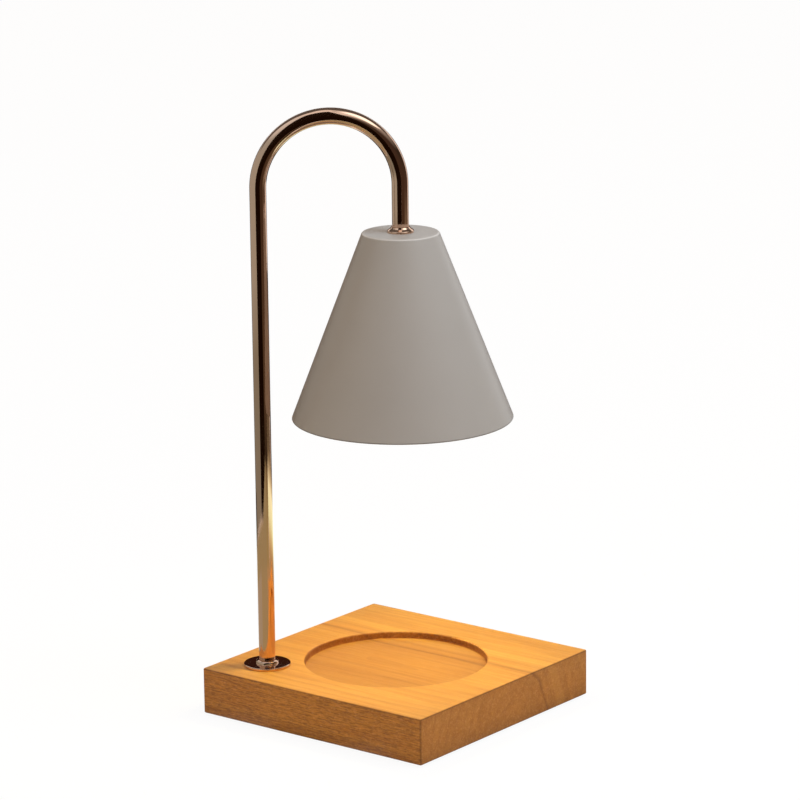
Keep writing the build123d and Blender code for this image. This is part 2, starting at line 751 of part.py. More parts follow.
with BuildPart() as holder_cap:
    with BuildSketch(holder_plane(holder_top)):
        Circle(holder_d / 2)
    extrude(amount=holder_cap_t)
    chamfer(holder_cap.edges().group_by(Axis.Z)[-1], length=holder_edge)
    with BuildSketch(holder_plane(holder_top)):
        with PolarLocations(pin_circle_r, 2):
            Circle(lead_d / 2 + cap_hole_gap)
    extrude(amount=holder_cap_t, mode=Mode.SUBTRACT)
    with BuildSketch(holder_plane(holder_top, screw_turn)):
        with PolarLocations(screw_circle_r, 2):
            Circle(screw_d / 2 + screw_hole_gap)
    extrude(amount=holder_cap_t, mode=Mode.SUBTRACT)
holder_cap.part.label = "holder_cap"
export_step(holder_cap.part, "parts/holder_cap.step")

contact_outer = cavity_outer - contact_inset
contact_low = pin_head_z + pin_head_h + contact_lift
contact_plane = Plane(origin=(drop_x, drop_y, 0), x_dir=side_dir, z_dir=-arm_dir)

with BuildPart() as holder_contacts:
    for side in (-1, 1):
        with BuildSketch(contact_plane):
            with BuildLine():
                Polyline(
                    (side * (pin_circle_r - lead_d), holder_top),
                    (side * contact_outer, holder_top),
                    (side * contact_outer, contact_low),
                    (side * (pin_circle_r - lead_d), contact_low),
                    (side * (pin_circle_r - lead_d), contact_low + contact_t),
                    (side * (contact_outer - contact_t), contact_low + contact_t),
                    (side * (contact_outer - contact_t), holder_top - contact_t),
                    (side * (pin_circle_r - lead_d), holder_top - contact_t),
                    close=True,
                )
            make_face()
        extrude(amount=contact_width / 2, both=True)
holder_contacts.part.label = "holder_contacts"
export_step(holder_contacts.part, "parts/holder_contacts.step")

screw_seat = holder_face + screw_sink
with BuildPart() as holder_screws:
    with BuildSketch(holder_plane(screw_seat, screw_turn)):
        with PolarLocations(screw_circle_r, 2):
            Circle(screw_head_d / 2)
    extrude(amount=-screw_head_h)
    chamfer(holder_screws.edges().group_by(Axis.Z)[0], length=screw_head_chamfer)
    with BuildSketch(holder_plane(screw_seat, screw_turn)):
        with PolarLocations(screw_circle_r, 2):
            Circle(screw_d / 2)
    extrude(amount=bracket_foot_z + bracket_t - screw_seat)
    with BuildSketch(holder_plane(screw_seat - screw_head_h, screw_turn)):
        with PolarLocations(screw_circle_r, 2):
            for cross_turn in (0, 90):
                Rectangle(cross_share * screw_head_d, cross_width, rotation=cross_turn)
    extrude(amount=cross_depth, mode=Mode.SUBTRACT)
holder_screws.part.label = "holder_screws"
export_step(holder_screws.part, "parts/holder_screws.step")

# ---- bulb ------------------------------------------------------------------------------
# Heights in the bulb's profile count from the lens face, upwards.
bulb_plane = Plane(origin=(drop_x, drop_y, bulb_front), x_dir=arm_dir, z_dir=side_dir)
neck_top = bulb_length - base_block_h + neck_in_base
capsule_bore_r = capsule_d / 2 + capsule_gap
ledge_z = lens_inset + lens_t
mirror_r = bulb_d / 2 - bulb_wall
lens_r = mirror_r + lens_seat - lens_gap
vertex_z = bulb_length - base_block_h - bulb_shell
shell_z = bulb_length - base_block_h


def bowl_curve(radius, rim_z, top_z, inner_radius):
    """Parabola from the rim to inner_radius, as a quadratic curve; top_z is its vertex."""
    bow = (top_z - rim_z) / radius ** 2
    inner_z = top_z - bow * inner_radius ** 2
    middle_r = (radius + inner_radius) / 2
    middle_z = rim_z + 2 * bow * radius * (radius - middle_r)
    return [(radius, rim_z), (middle_r, middle_z), (inner_radius, inner_z)]


mirror_points = bowl_curve(mirror_r, bulb_rim_h, vertex_z, capsule_bore_r)
outer_points = bowl_curve(bulb_d / 2, bulb_rim_h, shell_z, neck_d / 2)

with BuildPart() as bulb_reflector:
    with BuildSketch(bulb_plane):
        with BuildLine():
            Polyline(
                mirror_points[0],
                (mirror_r, ledge_z),
                (mirror_r + lens_seat, ledge_z),
                (mirror_r + lens_seat, 0),
                (bulb_d / 2, 0),
                outer_points[0],
            )
            Bezier(*outer_points)
            Polyline(
                outer_points[-1],
                (neck_d / 2, neck_top),
                (capsule_bore_r, neck_top),
                mirror_points[-1],
            )
            Bezier(*reversed(mirror_points))
        make_face()
    revolve(axis=shade_axis)
bulb_reflector.part.label = "bulb_reflector"
export_step(bulb_reflector.part, "parts/bulb_reflector.step")

with BuildPart() as bulb_lens:
    with BuildSketch(holder_plane(bulb_front + lens_inset)):
        Circle(lens_r)
    extrude(amount=lens_t)
bulb_lens.part.label = "bulb_lens"
export_step(bulb_lens.part, "parts/bulb_lens.step")

with BuildPart() as bulb_base:
    with BuildSketch(holder_plane(bulb_shoulder - base_block_h)):
        RectangleRounded(base_block_w, base_block_t, base_block_round)
    extrude(amount=base_block_h)
    chamfer(bulb_base.faces().sort_by(Axis.Z)[-1].edges(), length=base_block_edge)
    with BuildSketch(holder_plane(bulb_shoulder - base_block_h)):
        Circle(neck_d / 2 + bulb_base_gap)
    extrude(amount=neck_in_base + bulb_base_gap, mode=Mode.SUBTRACT)
    with BuildSketch(holder_plane(bulb_shoulder)):
        with PolarLocations(pin_circle_r, 2):
            Circle(pin_neck_d / 2 + pilot_gap)
    extrude(amount=-pin_root - pilot_gap, mode=Mode.SUBTRACT)
bulb_base.part.label = "bulb_base"
export_step(bulb_base.part, "parts/bulb_base.step")

with BuildPart() as bulb_pins:
    with BuildSketch(holder_plane(bulb_shoulder - pin_root)):
        with PolarLocations(pin_circle_r, 2):
            Circle(pin_neck_d / 2)
    extrude(amount=pin_head_z - bulb_shoulder + pin_root)
    with BuildSketch(holder_plane(pin_head_z)):
        with PolarLocations(pin_circle_r, 2):
            Circle(pin_head_d / 2)
    extrude(amount=pin_head_h)
    chamfer(bulb_pins.edges().group_by(Axis.Z)[-1], length=pin_head_chamfer)
bulb_pins.part.label = "bulb_pins"
export_step(bulb_pins.part, "parts/bulb_pins.step")

capsule_r = capsule_d / 2
hollow_r = capsule_r - capsule_wall
pinch_z = neck_top - capsule_pinch
with BuildPart() as bulb_capsule:
    with BuildSketch(bulb_plane):
        with BuildLine():
            outer_dome = CenterArc((0, capsule_tip + capsule_r), capsule_r, -90, 90)
            Polyline(outer_dome @ 1, (capsule_r, neck_top), (0, neck_top), (0, pinch_z))
            Polyline((0, pinch_z), (hollow_r, pinch_z), (hollow_r, capsule_tip + capsule_r))
            inner_dome = CenterArc((0, capsule_tip + capsule_r), hollow_r, 0, -90)
            Line(inner_dome @ 1, outer_dome @ 0)
        make_face()
    revolve(axis=shade_axis)
bulb_capsule.part.label = "bulb_capsule"
export_step(bulb_capsule.part, "parts/bulb_capsule.step")

filament_z = bulb_front + capsule_tip + capsule_r
filament_top = filament_z + filament_length
with BuildPart() as bulb_filament:
    with BuildSketch(holder_plane(filament_z)):
        Circle(filament_d / 2)
    extrude(amount=filament_length)
    with BuildSketch(holder_plane(filament_top)):
        with PolarLocations(filament_leg_circle_r, 2):
            Circle(filament_leg_d / 2)
    extrude(amount=bulb_front + pinch_z - filament_top)
bulb_filament.part.label = "bulb_filament"
export_step(bulb_filament.part, "parts/bulb_filament.step")

# ---- the two leads -----------------------------------------------------------------------
# Each lead runs from its barrel, up through the post, over the hook and down to its contact.
lead_run_z = cover_top + lead_lift + lead_d / 2
spread_low_z = cap_top + lead_straight_cap
spread_high_z = upper_clamp_z - lock_thickness - nut_thickness - nipple_proud - bush_flange_t
spread_high_z = spread_high_z - lead_straight_bush
leads = {"lead_live": (1, pole_ys[0]), "lead_neutral": (-1, pole_ys[1])}
hook_middle = Vector((post_x + drop_x) / 2, (post_y + drop_y) / 2, spring_z + bend_radius)

for lead_name, (side, pole_y) in leads.items():
    shift = side_dir * (side * lead_offset)
    post_point = Vector(post_x, post_y, 0) + shift
    drop_point = Vector(drop_x, drop_y, 0) + shift
    contact_point = Vector(drop_x, drop_y, 0) + side_dir * (side * pin_circle_r)
    barrel_mouth = block_x - block_length / 2
    run_end = post_point + arm_dir * lead_run

    with BuildPart() as lead:
        with BuildLine():
            low_path = FilletPolyline(
                (barrel_mouth + lead_in_barrel, pole_y, barrel_z),
                (barrel_mouth - lead_entry, pole_y, barrel_z),
                (run_end.X, run_end.Y, lead_run_z),
                (post_point.X, post_point.Y, lead_run_z),
                (post_point.X, post_point.Y, spring_z),
                radius=[lead_bend, lead_bend, lead_turn],
            )
            ThreePointArc(
                (post_point.X, post_point.Y, spring_z),
                hook_middle + shift,
                (drop_point.X, drop_point.Y, spring_z),
            )
            FilletPolyline(
                (drop_point.X, drop_point.Y, spring_z),
                (drop_point.X, drop_point.Y, spread_high_z),
                (contact_point.X, contact_point.Y, spread_low_z),
                (contact_point.X, contact_point.Y, holder_top),
                radius=lead_bend,
            )
        with BuildSketch(Plane(origin=low_path @ 0, z_dir=low_path % 0)):
            Circle(lead_d / 2)
        sweep()
    lead.part.label = lead_name
    export_step(lead.part, f"parts/{lead_name}.step")
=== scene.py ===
import json
import math
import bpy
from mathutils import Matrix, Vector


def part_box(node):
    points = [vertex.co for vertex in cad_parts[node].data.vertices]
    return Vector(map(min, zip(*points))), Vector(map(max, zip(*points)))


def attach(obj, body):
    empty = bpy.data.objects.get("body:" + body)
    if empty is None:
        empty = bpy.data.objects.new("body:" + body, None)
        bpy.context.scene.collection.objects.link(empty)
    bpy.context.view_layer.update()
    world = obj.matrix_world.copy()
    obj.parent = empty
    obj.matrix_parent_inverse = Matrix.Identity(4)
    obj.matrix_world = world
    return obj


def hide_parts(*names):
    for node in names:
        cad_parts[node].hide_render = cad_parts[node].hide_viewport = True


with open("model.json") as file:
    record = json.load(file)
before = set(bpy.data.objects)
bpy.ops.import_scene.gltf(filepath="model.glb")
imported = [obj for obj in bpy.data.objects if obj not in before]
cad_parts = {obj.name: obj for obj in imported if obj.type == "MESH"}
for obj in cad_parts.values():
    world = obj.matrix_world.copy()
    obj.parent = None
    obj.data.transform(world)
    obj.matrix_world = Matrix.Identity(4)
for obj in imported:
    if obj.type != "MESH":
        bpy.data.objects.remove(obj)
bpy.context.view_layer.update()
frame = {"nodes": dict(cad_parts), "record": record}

from types import SimpleNamespace

import bmesh
import bpy
from mathutils import Matrix, Vector

# Candle warmer lamp. Metres, +Z up, floor at z = 0, the post in the corner at -X -Y.
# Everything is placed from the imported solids; the pieces made here stand for some of them.

nodes = frame["nodes"]
mm = 0.001
print("frame loaded:", len(nodes), "nodes")


def box(node):
    low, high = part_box(node)
    return low, high, (low + high) / 2


# helpers for node trees

def plug(tree, socket, value):
    if isinstance(value, bpy.types.NodeSocket):
        tree.links.new(value, socket)
    else:
        socket.default_value = value


def fill(tree, node, inputs):
    for key, value in inputs.items():
        plug(tree, node.inputs[key], value)


def addNode(tree, kind, inputs=None, **settings):
    node = tree.nodes.new(kind)
    for name, value in settings.items():
        setattr(node, name, value)
    fill(tree, node, inputs or {})
    return node


def maths(tree, operation, *values, clamp=False):
    node = addNode(tree, "ShaderNodeMath", dict(enumerate(values)), operation=operation, use_clamp=clamp)
    return node.outputs[0]


def times(tree, first, *others):
    for other in others:
        first = maths(tree, "MULTIPLY", first, other)
    return first


def plus(tree, first, second, clamp=False):
    return maths(tree, "ADD", first, second, clamp=clamp)


def minus(tree, first, second):
    return maths(tree, "SUBTRACT", first, second)


def divide(tree, first, second):
    return maths(tree, "DIVIDE", first, second)


def timesPlus(tree, first, second, third, clamp=False):
    return maths(tree, "MULTIPLY_ADD", first, second, third, clamp=clamp)


def vectorMaths(tree, operation, first, second=None):
    node = addNode(tree, "ShaderNodeVectorMath", operation=operation)
    plug(tree, node.inputs[0], first)
    if second is not None:
        plug(tree, node.inputs["Scale"] if operation == "SCALE" else node.inputs[1], second)
    return node.outputs["Value" if operation in ("LENGTH", "DOT_PRODUCT") else 0]


def combine(tree, x, y, z):
    return addNode(tree, "ShaderNodeCombineXYZ", {"X": x, "Y": y, "Z": z}).outputs[0]


def split(tree, vector):
    return addNode(tree, "ShaderNodeSeparateXYZ", {0: vector}).outputs


def scaled(tree, parts, scales):
    return combine(tree, *(times(tree, part, scale) for part, scale in zip(parts, scales)))


def fromAxis(tree, x, y, axis):
    # the level vector from an upright axis to this place
    return combine(tree, minus(tree, x, axis.x), minus(tree, y, axis.y), 0.0)


def surfaceNormal(tree):
    return addNode(tree, "ShaderNodeNewGeometry").outputs["Normal"]


def faceShares(tree):
    # how far a face looks along X (the end grain), Y (the sides) and Z (the top)
    normal = surfaceNormal(tree)
    return split(tree, vectorMaths(tree, "MULTIPLY", normal, normal))


def remap(tree, value, fromLow, fromHigh, toLow=0.0, toHigh=1.0, smooth=False):
    kind = "SMOOTHSTEP" if smooth else "LINEAR"
    node = addNode(tree, "ShaderNodeMapRange", interpolation_type=kind, clamp=True)
    limits = {"From Min": fromLow, "From Max": fromHigh, "To Min": toLow, "To Max": toHigh}
    for name, number in limits.items():
        plug(tree, node.inputs[name], number)
    plug(tree, node.inputs["Value"], value)
    return node.outputs["Result"]


def mixColor(tree, factor, first, second, blend="MIX"):
    node = addNode(tree, "ShaderNodeMix", data_type="RGBA", blend_type=blend)
    colorInputs = [s for s in node.inputs if s.type == "RGBA"]
    plug(tree, node.inputs["Factor"], factor)
    plug(tree, colorInputs[0], first)
    plug(tree, colorInputs[1], second)
    return [s for s in node.outputs if s.type == "RGBA"][0]


def newGroup(name, kind, inputs, outputs):
    group = bpy.data.node_groups.new(name, kind)
    for label, (kindOfValue, default) in inputs.items():
        socket = group.interface.new_socket(label, in_out="INPUT", socket_type="NodeSocket" + kindOfValue)
        if default is not None:
            socket.default_value = default
    for label, kindOfValue in outputs.items():
        group.interface.new_socket(label, in_out="OUTPUT", socket_type="NodeSocket" + kindOfValue)
    return group, group.nodes.new("NodeGroupInput").outputs, group.nodes.new("NodeGroupOutput")


def noise(tree, vector, scale, detail=2.0, roughness=0.5, distortion=0.0):
    node = addNode(tree, "ShaderNodeTexNoise", {
        "Vector": vector, "Scale": scale, "Detail": detail,
        "Roughness": roughness, "Distortion": distortion})
    return node.outputs["Fac"]


def rgb(red, green, blue):
    return (red, green, blue, 1.0)


def ramp(tree, level, tones):
    # tones: (position, red, green, blue)
    node = addNode(tree, "ShaderNodeValToRGB", {"Fac": level})
    stops = node.color_ramp.elements
    while len(stops) < len(tones):
        stops.new(0.5)
    for stop, (position, *tone) in zip(stops, tones):
        stop.position, stop.color = position, rgb(*tone)
    return node.outputs["Color"]


# shader groups for the effects that several materials share

# (distance from the pith in mm, tone): 0.5 is a plain year, less is darker, more is paler
yearTones = [
    (0, 0.50), (9, 0.58), (15, 0.44), (21, 0.52), (33.0, 0.46), (33.9, 0.0), (34.6, 0.10),
    (35.4, 0.54), (42, 0.44), (44, 0.86), (48.5, 0.84), (50, 0.42), (57, 0.55), (64, 0.42),
    (72, 0.60), (80, 0.46), (88, 0.56), (100, 0.5),
]
yearsAcross = 100.0      # mm, where the last of these tones lies


def makeWoodGrain():
    # solid timber: growth rings about a pith line that runs along X, fibres and broad streaks
    # along X, the small pores of beech, and rays that fan out from the pith. The rays show as
    # short dark flecks on the faces that run along the grain, and hardly on the end grain.
    group, given, out = newGroup("woodGrain", "ShaderNodeTree", {
        "Vector": ("Vector", None),
        "Pith": ("Vector", (0.0, 0.005, 0.0)),
        "Ring Spacing mm": ("Float", 6.5),
        "Fleck Length mm": ("Float", 3.4),
        "Fleck Width mm": ("Float", 0.36),
        "Flecks On Top": ("Float", 0.10),
        "Flecks On End": ("Float", 0.14),
    }, {"Rings": "Float", "Year Tone": "Float", "Fibres": "Float", "Streaks": "Float",
        "Flecks": "Float", "Pale Flecks": "Float", "Pores": "Float", "Drift": "Float"})
    at = vectorMaths(group, "SCALE", vectorMaths(group, "SUBTRACT", given["Vector"], given["Pith"]), 1 / mm)
    place = x, y, z = split(group, at)
    slow = scaled(group, place, (0.006, 0.03, 0.03))
    wander = minus(group, noise(group, slow, 1.0, 2.0), 0.5)
    radius = maths(group, "SQRT", plus(group, times(group, y, y), times(group, z, z)))
    waved = timesPlus(group, wander, 12.0, radius)
    # the growing years differ in width and in tone
    uneven = addNode(group, "ShaderNodeTexNoise", {"W": waved, "Scale": 0.16, "Detail": 1.0},
                     noise_dimensions="1D").outputs["Fac"]
    year = divide(group, timesPlus(group, uneven, 9.0, waved), given["Ring Spacing mm"])
    years = ramp(group, divide(group, waved, yearsAcross),
                 [(reach / yearsAcross, tone, tone, tone) for reach, tone in yearTones])
    # years are plain on the far side of the pith
    oneSided = remap(group, y, -8.0, 8.0, 0.2, 1.0)
    fibres = noise(group, scaled(group, place, (0.035, 1.3, 1.3)), 1.0, 5.0, 0.62)
    streaks = noise(group, scaled(group, place, (0.007, 0.30, 0.30)), 1.0, 3.0, 0.6)

    around = maths(group, "ARCTAN2", y, z)
    across = divide(group, times(group, around, 60.0), given["Fleck Width mm"])
    fleckAt = combine(group, divide(group, x, given["Fleck Length mm"]), times(group, radius, 0.16), across)
    flecks = remap(group, noise(group, fleckAt, 0.62, 2.5, 0.65), 0.43, 0.66, smooth=True)
    onEnd, onSide, onTop = faceShares(group)
    shown = timesPlus(group, onTop, given["Flecks On Top"], onSide)
    shown = timesPlus(group, onEnd, given["Flecks On End"], shown)
    # torn fibre ends that catch the light, on the sawn and planed sides
    tornAt = vectorMaths(group, "MULTIPLY", at, (0.45, 0.75, 0.75))
    torn = remap(group, noise(group, tornAt, 1.0, 3.0, 0.75, 0.6), 0.50, 0.64)
    pores = noise(group, scaled(group, place, (0.9, 9.0, 9.0)), 0.5, 1.0)
    fill(group, out, {
        "Rings": maths(group, "POWER", maths(group, "FRACT", year), 3.0),
        "Year Tone": timesPlus(group, minus(group, years, 0.5), oneSided, 0.5),
        "Fibres": fibres,
        "Streaks": remap(group, streaks, 0.36, 0.64, smooth=True),
        "Drift": noise(group, slow, 2.3, 3.0),
        "Flecks": times(group, flecks, shown),
        "Pale Flecks": times(group, torn, plus(group, onSide, onEnd)),
        "Pores": remap(group, pores, 0.58, 0.72, smooth=True)})
    return group


def makeHandling():
    # soft smudges and fine hairline scratches, as a roughness mask from 0 to 1
    group, given, out = newGroup("handling", "ShaderNodeTree", {
        "Vector": ("Vector", None), "Smudge Scale": ("Float", 60.0), "Hairlines": ("Float", 0.4),
    }, {"Mask": "Float"})
    smudge = remap(group, noise(group, given["Vector"], given["Smudge Scale"], 3.0), 0.35, 0.75)
    stretched = vectorMaths(group, "MULTIPLY", given["Vector"], (700.0, 700.0, 40.0))
    hair = remap(group, noise(group, stretched, 1.0, 2.0, 0.7), 0.62, 0.70)
    total = timesPlus(group, hair, given["Hairlines"], smudge, clamp=True)
    plug(group, out.inputs["Mask"], total)
    return group


def makeFineTexture():
    # moulded or sprayed skin: fine grain on a slow swell
    group, given, out = newGroup("fineTexture", "ShaderNodeTree", {
        "Vector": ("Vector", None), "Grain Scale": ("Float", 1800.0), "Swell": ("Float", 0.35),
    }, {"Height": "Float", "Cloud": "Float"})
    grain = noise(group, given["Vector"], given["Grain Scale"], 2.0, 0.6)
    swell = noise(group, given["Vector"], 55.0, 2.0)
    plug(group, out.inputs["Height"], timesPlus(group, swell, given["Swell"], grain))
    plug(group, out.inputs["Cloud"], noise(group, given["Vector"], 18.0, 3.0))
    return group


def makeSettledDust():
    # dust that lies in patches on the faces that look up
    group, given, out = newGroup("settledDust", "ShaderNodeTree", {
        "Vector": ("Vector", None), "Amount": ("Float", 0.15),
    }, {"Mask": "Float"})
    upward = remap(group, vectorMaths(group, "DOT_PRODUCT", surfaceNormal(group), (0.0, 0.0, 1.0)), 0.5, 1.0)
    patch = remap(group, noise(group, given["Vector"], 220.0, 4.0, 0.7), 0.45, 0.75)
    fill(group, out, {"Mask": times(group, upward, patch, given["Amount"])})
    return group


woodGrain = makeWoodGrain()
handling = makeHandling()
fineTexture = makeFineTexture()
settledDust = makeSettledDust()
print("shader groups ready")


# materials

def newMaterial(name):
    material = bpy.data.materials.new(name)
    material.use_nodes = True
    tree = material.node_tree
    place = addNode(tree, "ShaderNodeTexCoord").outputs["Object"]
    return material, tree, tree.nodes["Principled BSDF"], place


def useGroup(tree, group, inputs):
    node = addNode(tree, "ShaderNodeGroup", node_tree=group)
    fill(tree, node, inputs)
    return node.outputs


def bumpFrom(tree, height, strength, distance):
    return addNode(tree, "ShaderNodeBump", {
        "Height": height, "Strength": strength, "Distance": distance}).outputs[0]


beech = {
    "light": rgb(0.560, 0.262, 0.044),
    "dark": rgb(0.418, 0.177, 0.027),
    "paleStreak": rgb(0.640, 0.342, 0.068),
    "lateWood": rgb(0.280, 0.103, 0.015),
    "fleck": rgb(0.170, 0.064, 0.011),
    "ringStrength": 0.24,
    "yearStrength": 0.72,
    "streakStrength": 0.42,
    "fleckStrength": 0.58,
    "sideFibreStrength": 0.42,
    "poreStrength": 0.18,
    "paleFleck": rgb(0.62, 0.36, 0.19),
    "paleFleckStrength": 0.13,
    "roughness": 0.46,
    "endTint": rgb(0.76, 0.60, 0.50),       # sawn ends, against the oiled top
    "sideShadeTint": rgb(1.01, 0.83, 0.52),      # the planed sides along the grain, with painted shade: redder and darker than the top
    "footTint": rgb(0.74, 0.72, 0.64),      # darker towards the lower edge of the sides
    "footHeight": 13.0,
    "edgeTint": rgb(0.42, 0.34, 0.28),      # darker along the block's edges
    "edgeWidth": 1.1,
    "recessRadius": 50.4,
    "recessDepth": 4.0,
    # painted shade in the recess: its floor a little darker, its wall much darker
    "recessFloorPaintedShade": rgb(0.78, 0.73, 0.66),
    "recessWallPaintedShade": rgb(0.50, 0.31, 0.17),
}


def toned(tree, mask, tint, tone):
    return mixColor(tree, mask, tint, mixColor(tree, 1.0, tint, tone, "MULTIPLY"))


def beechTint(tree, place):
    # the sawn ends take a darker tone; the sides take painted shade, redder and darker than the top
    onEnd, onSide, onTop = faceShares(tree)
    tint = mixColor(tree, onSide, rgb(1, 1, 1), beech["sideShadeTint"])
    tint = mixColor(tree, onEnd, tint, beech["endTint"])
    low, high, middle = box("base_block")
    x, y, z = split(tree, place)
    foot = remap(tree, z, low.z, low.z + beech["footHeight"] * mm, 1.0, 0.0)
    foot = times(tree, foot, foot, minus(tree, 1.0, onTop))
    tint = toned(tree, foot, tint, beech["footTint"])
    half, edgeWidth = (high.x - low.x) / 2, beech["edgeWidth"] * mm
    edge = remap(tree, z, high.z - edgeWidth, high.z - 0.4 * mm)
    edge = maths(tree, "MAXIMUM", edge, remap(tree, z, low.z + edgeWidth, low.z + 0.3 * mm))
    corner = maths(tree, "MINIMUM", maths(tree, "ABSOLUTE", x), maths(tree, "ABSOLUTE", y))
    edge = maths(tree, "MAXIMUM", edge, remap(tree, corner, half - edgeWidth, half - 0.3 * mm, 0.0, 0.85))
    edge = times(tree, edge, remap(tree, onTop, 0.7, 0.2))
    tint = toned(tree, edge, tint, beech["edgeTint"])
    # painted shade in the routed recess, darkest on its wall
    reach, radius = vectorMaths(tree, "LENGTH", fromAxis(tree, x, y, middle)), beech["recessRadius"]
    within = remap(tree, reach, radius * mm, (radius - 0.3) * mm)
    below = remap(tree, z, high.z - 0.3 * mm, high.z - 1.0 * mm)
    above = maths(tree, "GREATER_THAN", z, high.z - (beech["recessDepth"] + 1.0) * mm)
    recessShade = mixColor(tree, remap(tree, onTop, 0.2, 0.9), beech["recessWallPaintedShade"], beech["recessFloorPaintedShade"])
    return mixColor(tree, times(tree, within, below, above), tint, recessShade)


def makeBeech():
    material, tree, shader, place = newMaterial("beech")
    grain = useGroup(tree, woodGrain, {"Vector": place})
    tone = plus(tree, times(tree, grain["Fibres"], 0.75), times(tree, grain["Drift"], 0.45))
    color = mixColor(tree, remap(tree, tone, 0.42, 0.80), beech["light"], beech["dark"])
    lines = remap(tree, grain["Fibres"], 0.50, 0.66, 0.0, beech["sideFibreStrength"])
    for mask, layer in (
            (times(tree, grain["Streaks"], beech["streakStrength"]), "paleStreak"),
            (times(tree, grain["Rings"], beech["ringStrength"]), "lateWood"),
            (remap(tree, grain["Year Tone"], 0.5, 0.0, 0.0, beech["yearStrength"]), "lateWood"),
            (remap(tree, grain["Year Tone"], 0.5, 1.0, 0.0, beech["yearStrength"]), "paleStreak"),
            (times(tree, grain["Flecks"], beech["fleckStrength"]), "fleck"),
            (times(tree, grain["Pores"], beech["poreStrength"]), "fleck"),
            (times(tree, lines, faceShares(tree)[1]), "fleck")):
        color = mixColor(tree, mask, color, beech[layer])
    color = mixColor(tree, 1.0, color, beechTint(tree, place), "MULTIPLY")
    pale = times(tree, grain["Pale Flecks"], beech["paleFleckStrength"])
    color = mixColor(tree, pale, color, beech["paleFleck"], "ADD")
    dust = useGroup(tree, settledDust, {"Vector": place, "Amount": 0.05})["Mask"]
    hollows = plus(tree, times(tree, grain["Pores"], 0.6), times(tree, grain["Flecks"], 0.35))
    relief = minus(tree, times(tree, grain["Fibres"], 0.5), hollows)
    fill(tree, shader, {
        "Base Color": mixColor(tree, dust, color, rgb(0.6, 0.52, 0.42)),
        "Roughness": timesPlus(tree, grain["Fibres"], 0.18, beech["roughness"] - 0.09),
        "Normal": bumpFrom(tree, relief, 0.35, 0.00012), "Coat Weight": 0.12, "Coat Roughness": 0.35})
    return material


metalLooks = {
    # slot: (colour, worn colour, roughness, smudge scale, hairlines, bump)
    "rose_gold_plate": ((0.76, 0.5, 0.36), (0.7, 0.47, 0.35), (0.055, 0.13), 70.0, 0.25, 0.0),
    "zinc_steel": ((0.62, 0.63, 0.64), (0.44, 0.44, 0.45), (0.24, 0.42), 260.0, 0.6, 0.25),
    "contact_brass": ((0.72, 0.52, 0.22), (0.5, 0.34, 0.15), (0.22, 0.4), 300.0, 0.5, 0.15),
    "mirror_glass": ((0.9, 0.89, 0.86), (0.8, 0.79, 0.77), (0.04, 0.12), 160.0, 0.2, 0.0),
}
skinLooks = {
    # paint, plastic, rubber and ceramic: (colour, cloudy shade, roughness, grain scale, bump,
    # depth of the bump, dust)
    "steatite": ((0.74, 0.7, 0.61), (0.66, 0.61, 0.52), (0.55, 0.75), 2400.0, 0.5, 0.00003, 0.04),
    "bulb_ceramic": ((0.82, 0.81, 0.78), (0.74, 0.73, 0.7), (0.35, 0.55), 1600.0, 0.3, 0.00003, 0.04),
    "black_rubber": ((0.018, 0.018, 0.018), (0.028, 0.027, 0.026), (0.6, 0.85), 1500.0, 0.6, 0.00005, 0.12),
    "black_plastic": ((0.016, 0.016, 0.017), (0.024, 0.024, 0.025), (0.4, 0.6), 1300.0, 0.7, 0.00006, 0.06),
    "white_plastic": ((0.78, 0.78, 0.74), (0.7, 0.7, 0.66), (0.35, 0.5), 1800.0, 0.25, 0.00003, 0.04),
    "brown_insulation": ((0.105, 0.038, 0.016), (0.085, 0.03, 0.013), (0.28, 0.42), 1800.0, 0.2,
                         0.00002, 0.04),
    "blue_insulation": ((0.015, 0.085, 0.36), (0.012, 0.07, 0.3), (0.28, 0.42), 1800.0, 0.2, 0.00002, 0.04),
}


def nameOf(slot):
    first, *rest = slot.split("_")
    return first + "".join(word.capitalize() for word in rest)


def makeMetal(slot, look):
    color, worn, (low, high), smudgeScale, hairlines, bump = look
    material, tree, shader, place = newMaterial(nameOf(slot))
    marks = useGroup(tree, handling, {
        "Vector": place, "Smudge Scale": smudgeScale, "Hairlines": hairlines})["Mask"]
    fill(tree, shader, {
        "Roughness": remap(tree, marks, 0.0, 1.0, low, high), "Metallic": 1.0,
        "Base Color": mixColor(tree, times(tree, marks, 0.6), rgb(*color), rgb(*worn))})
    if bump:
        grain = useGroup(tree, fineTexture, {"Vector": place, "Grain Scale": 2600.0})
        fill(tree, shader, {"Normal": bumpFrom(tree, grain["Height"], bump, 0.00002)})
    return material


def makeSkin(slot, look):
    color, cloudy, (low, high), grainScale, bump, depth, dusty = look
    material, tree, shader, place = newMaterial(nameOf(slot))
    grain = useGroup(tree, fineTexture, {"Vector": place, "Grain Scale": grainScale, "Swell": 0.3})
    coat = mixColor(tree, remap(tree, grain["Cloud"], 0.3, 0.7), rgb(*color), rgb(*cloudy))
    dust = useGroup(tree, settledDust, {"Vector": place, "Amount": dusty})["Mask"]
    fill(tree, shader, {
        "Base Color": mixColor(tree, dust, coat, rgb(0.62, 0.60, 0.56)),
        "Roughness": remap(tree, grain["Height"], 0.3, 1.0, low, high),
        "Normal": bumpFrom(tree, grain["Height"], bump, depth)})
    return material


shadeCoat = {
    "outside": rgb(0.388, 0.372, 0.349),
    "outsideShade": rgb(0.368, 0.352, 0.329),
    "inside": rgb(0.74, 0.72, 0.67),
    "paintedEdgeHighlight": rgb(0.560, 0.545, 0.515),     # painted highlight, paler where the top edge turns over
    "paintedEdgeHighlightStrength": 0.75,
    "rim": rgb(0.190, 0.180, 0.168),        # darker along the lowest band of the outside, at the rim
    "rimWidth": 0.9,
    # dust on the faces that look up, laid on thick so that it also stands as painted light, paler on the top
    # plate
    "dust": 0.20,
    "roughness": (0.34, 0.45),
}


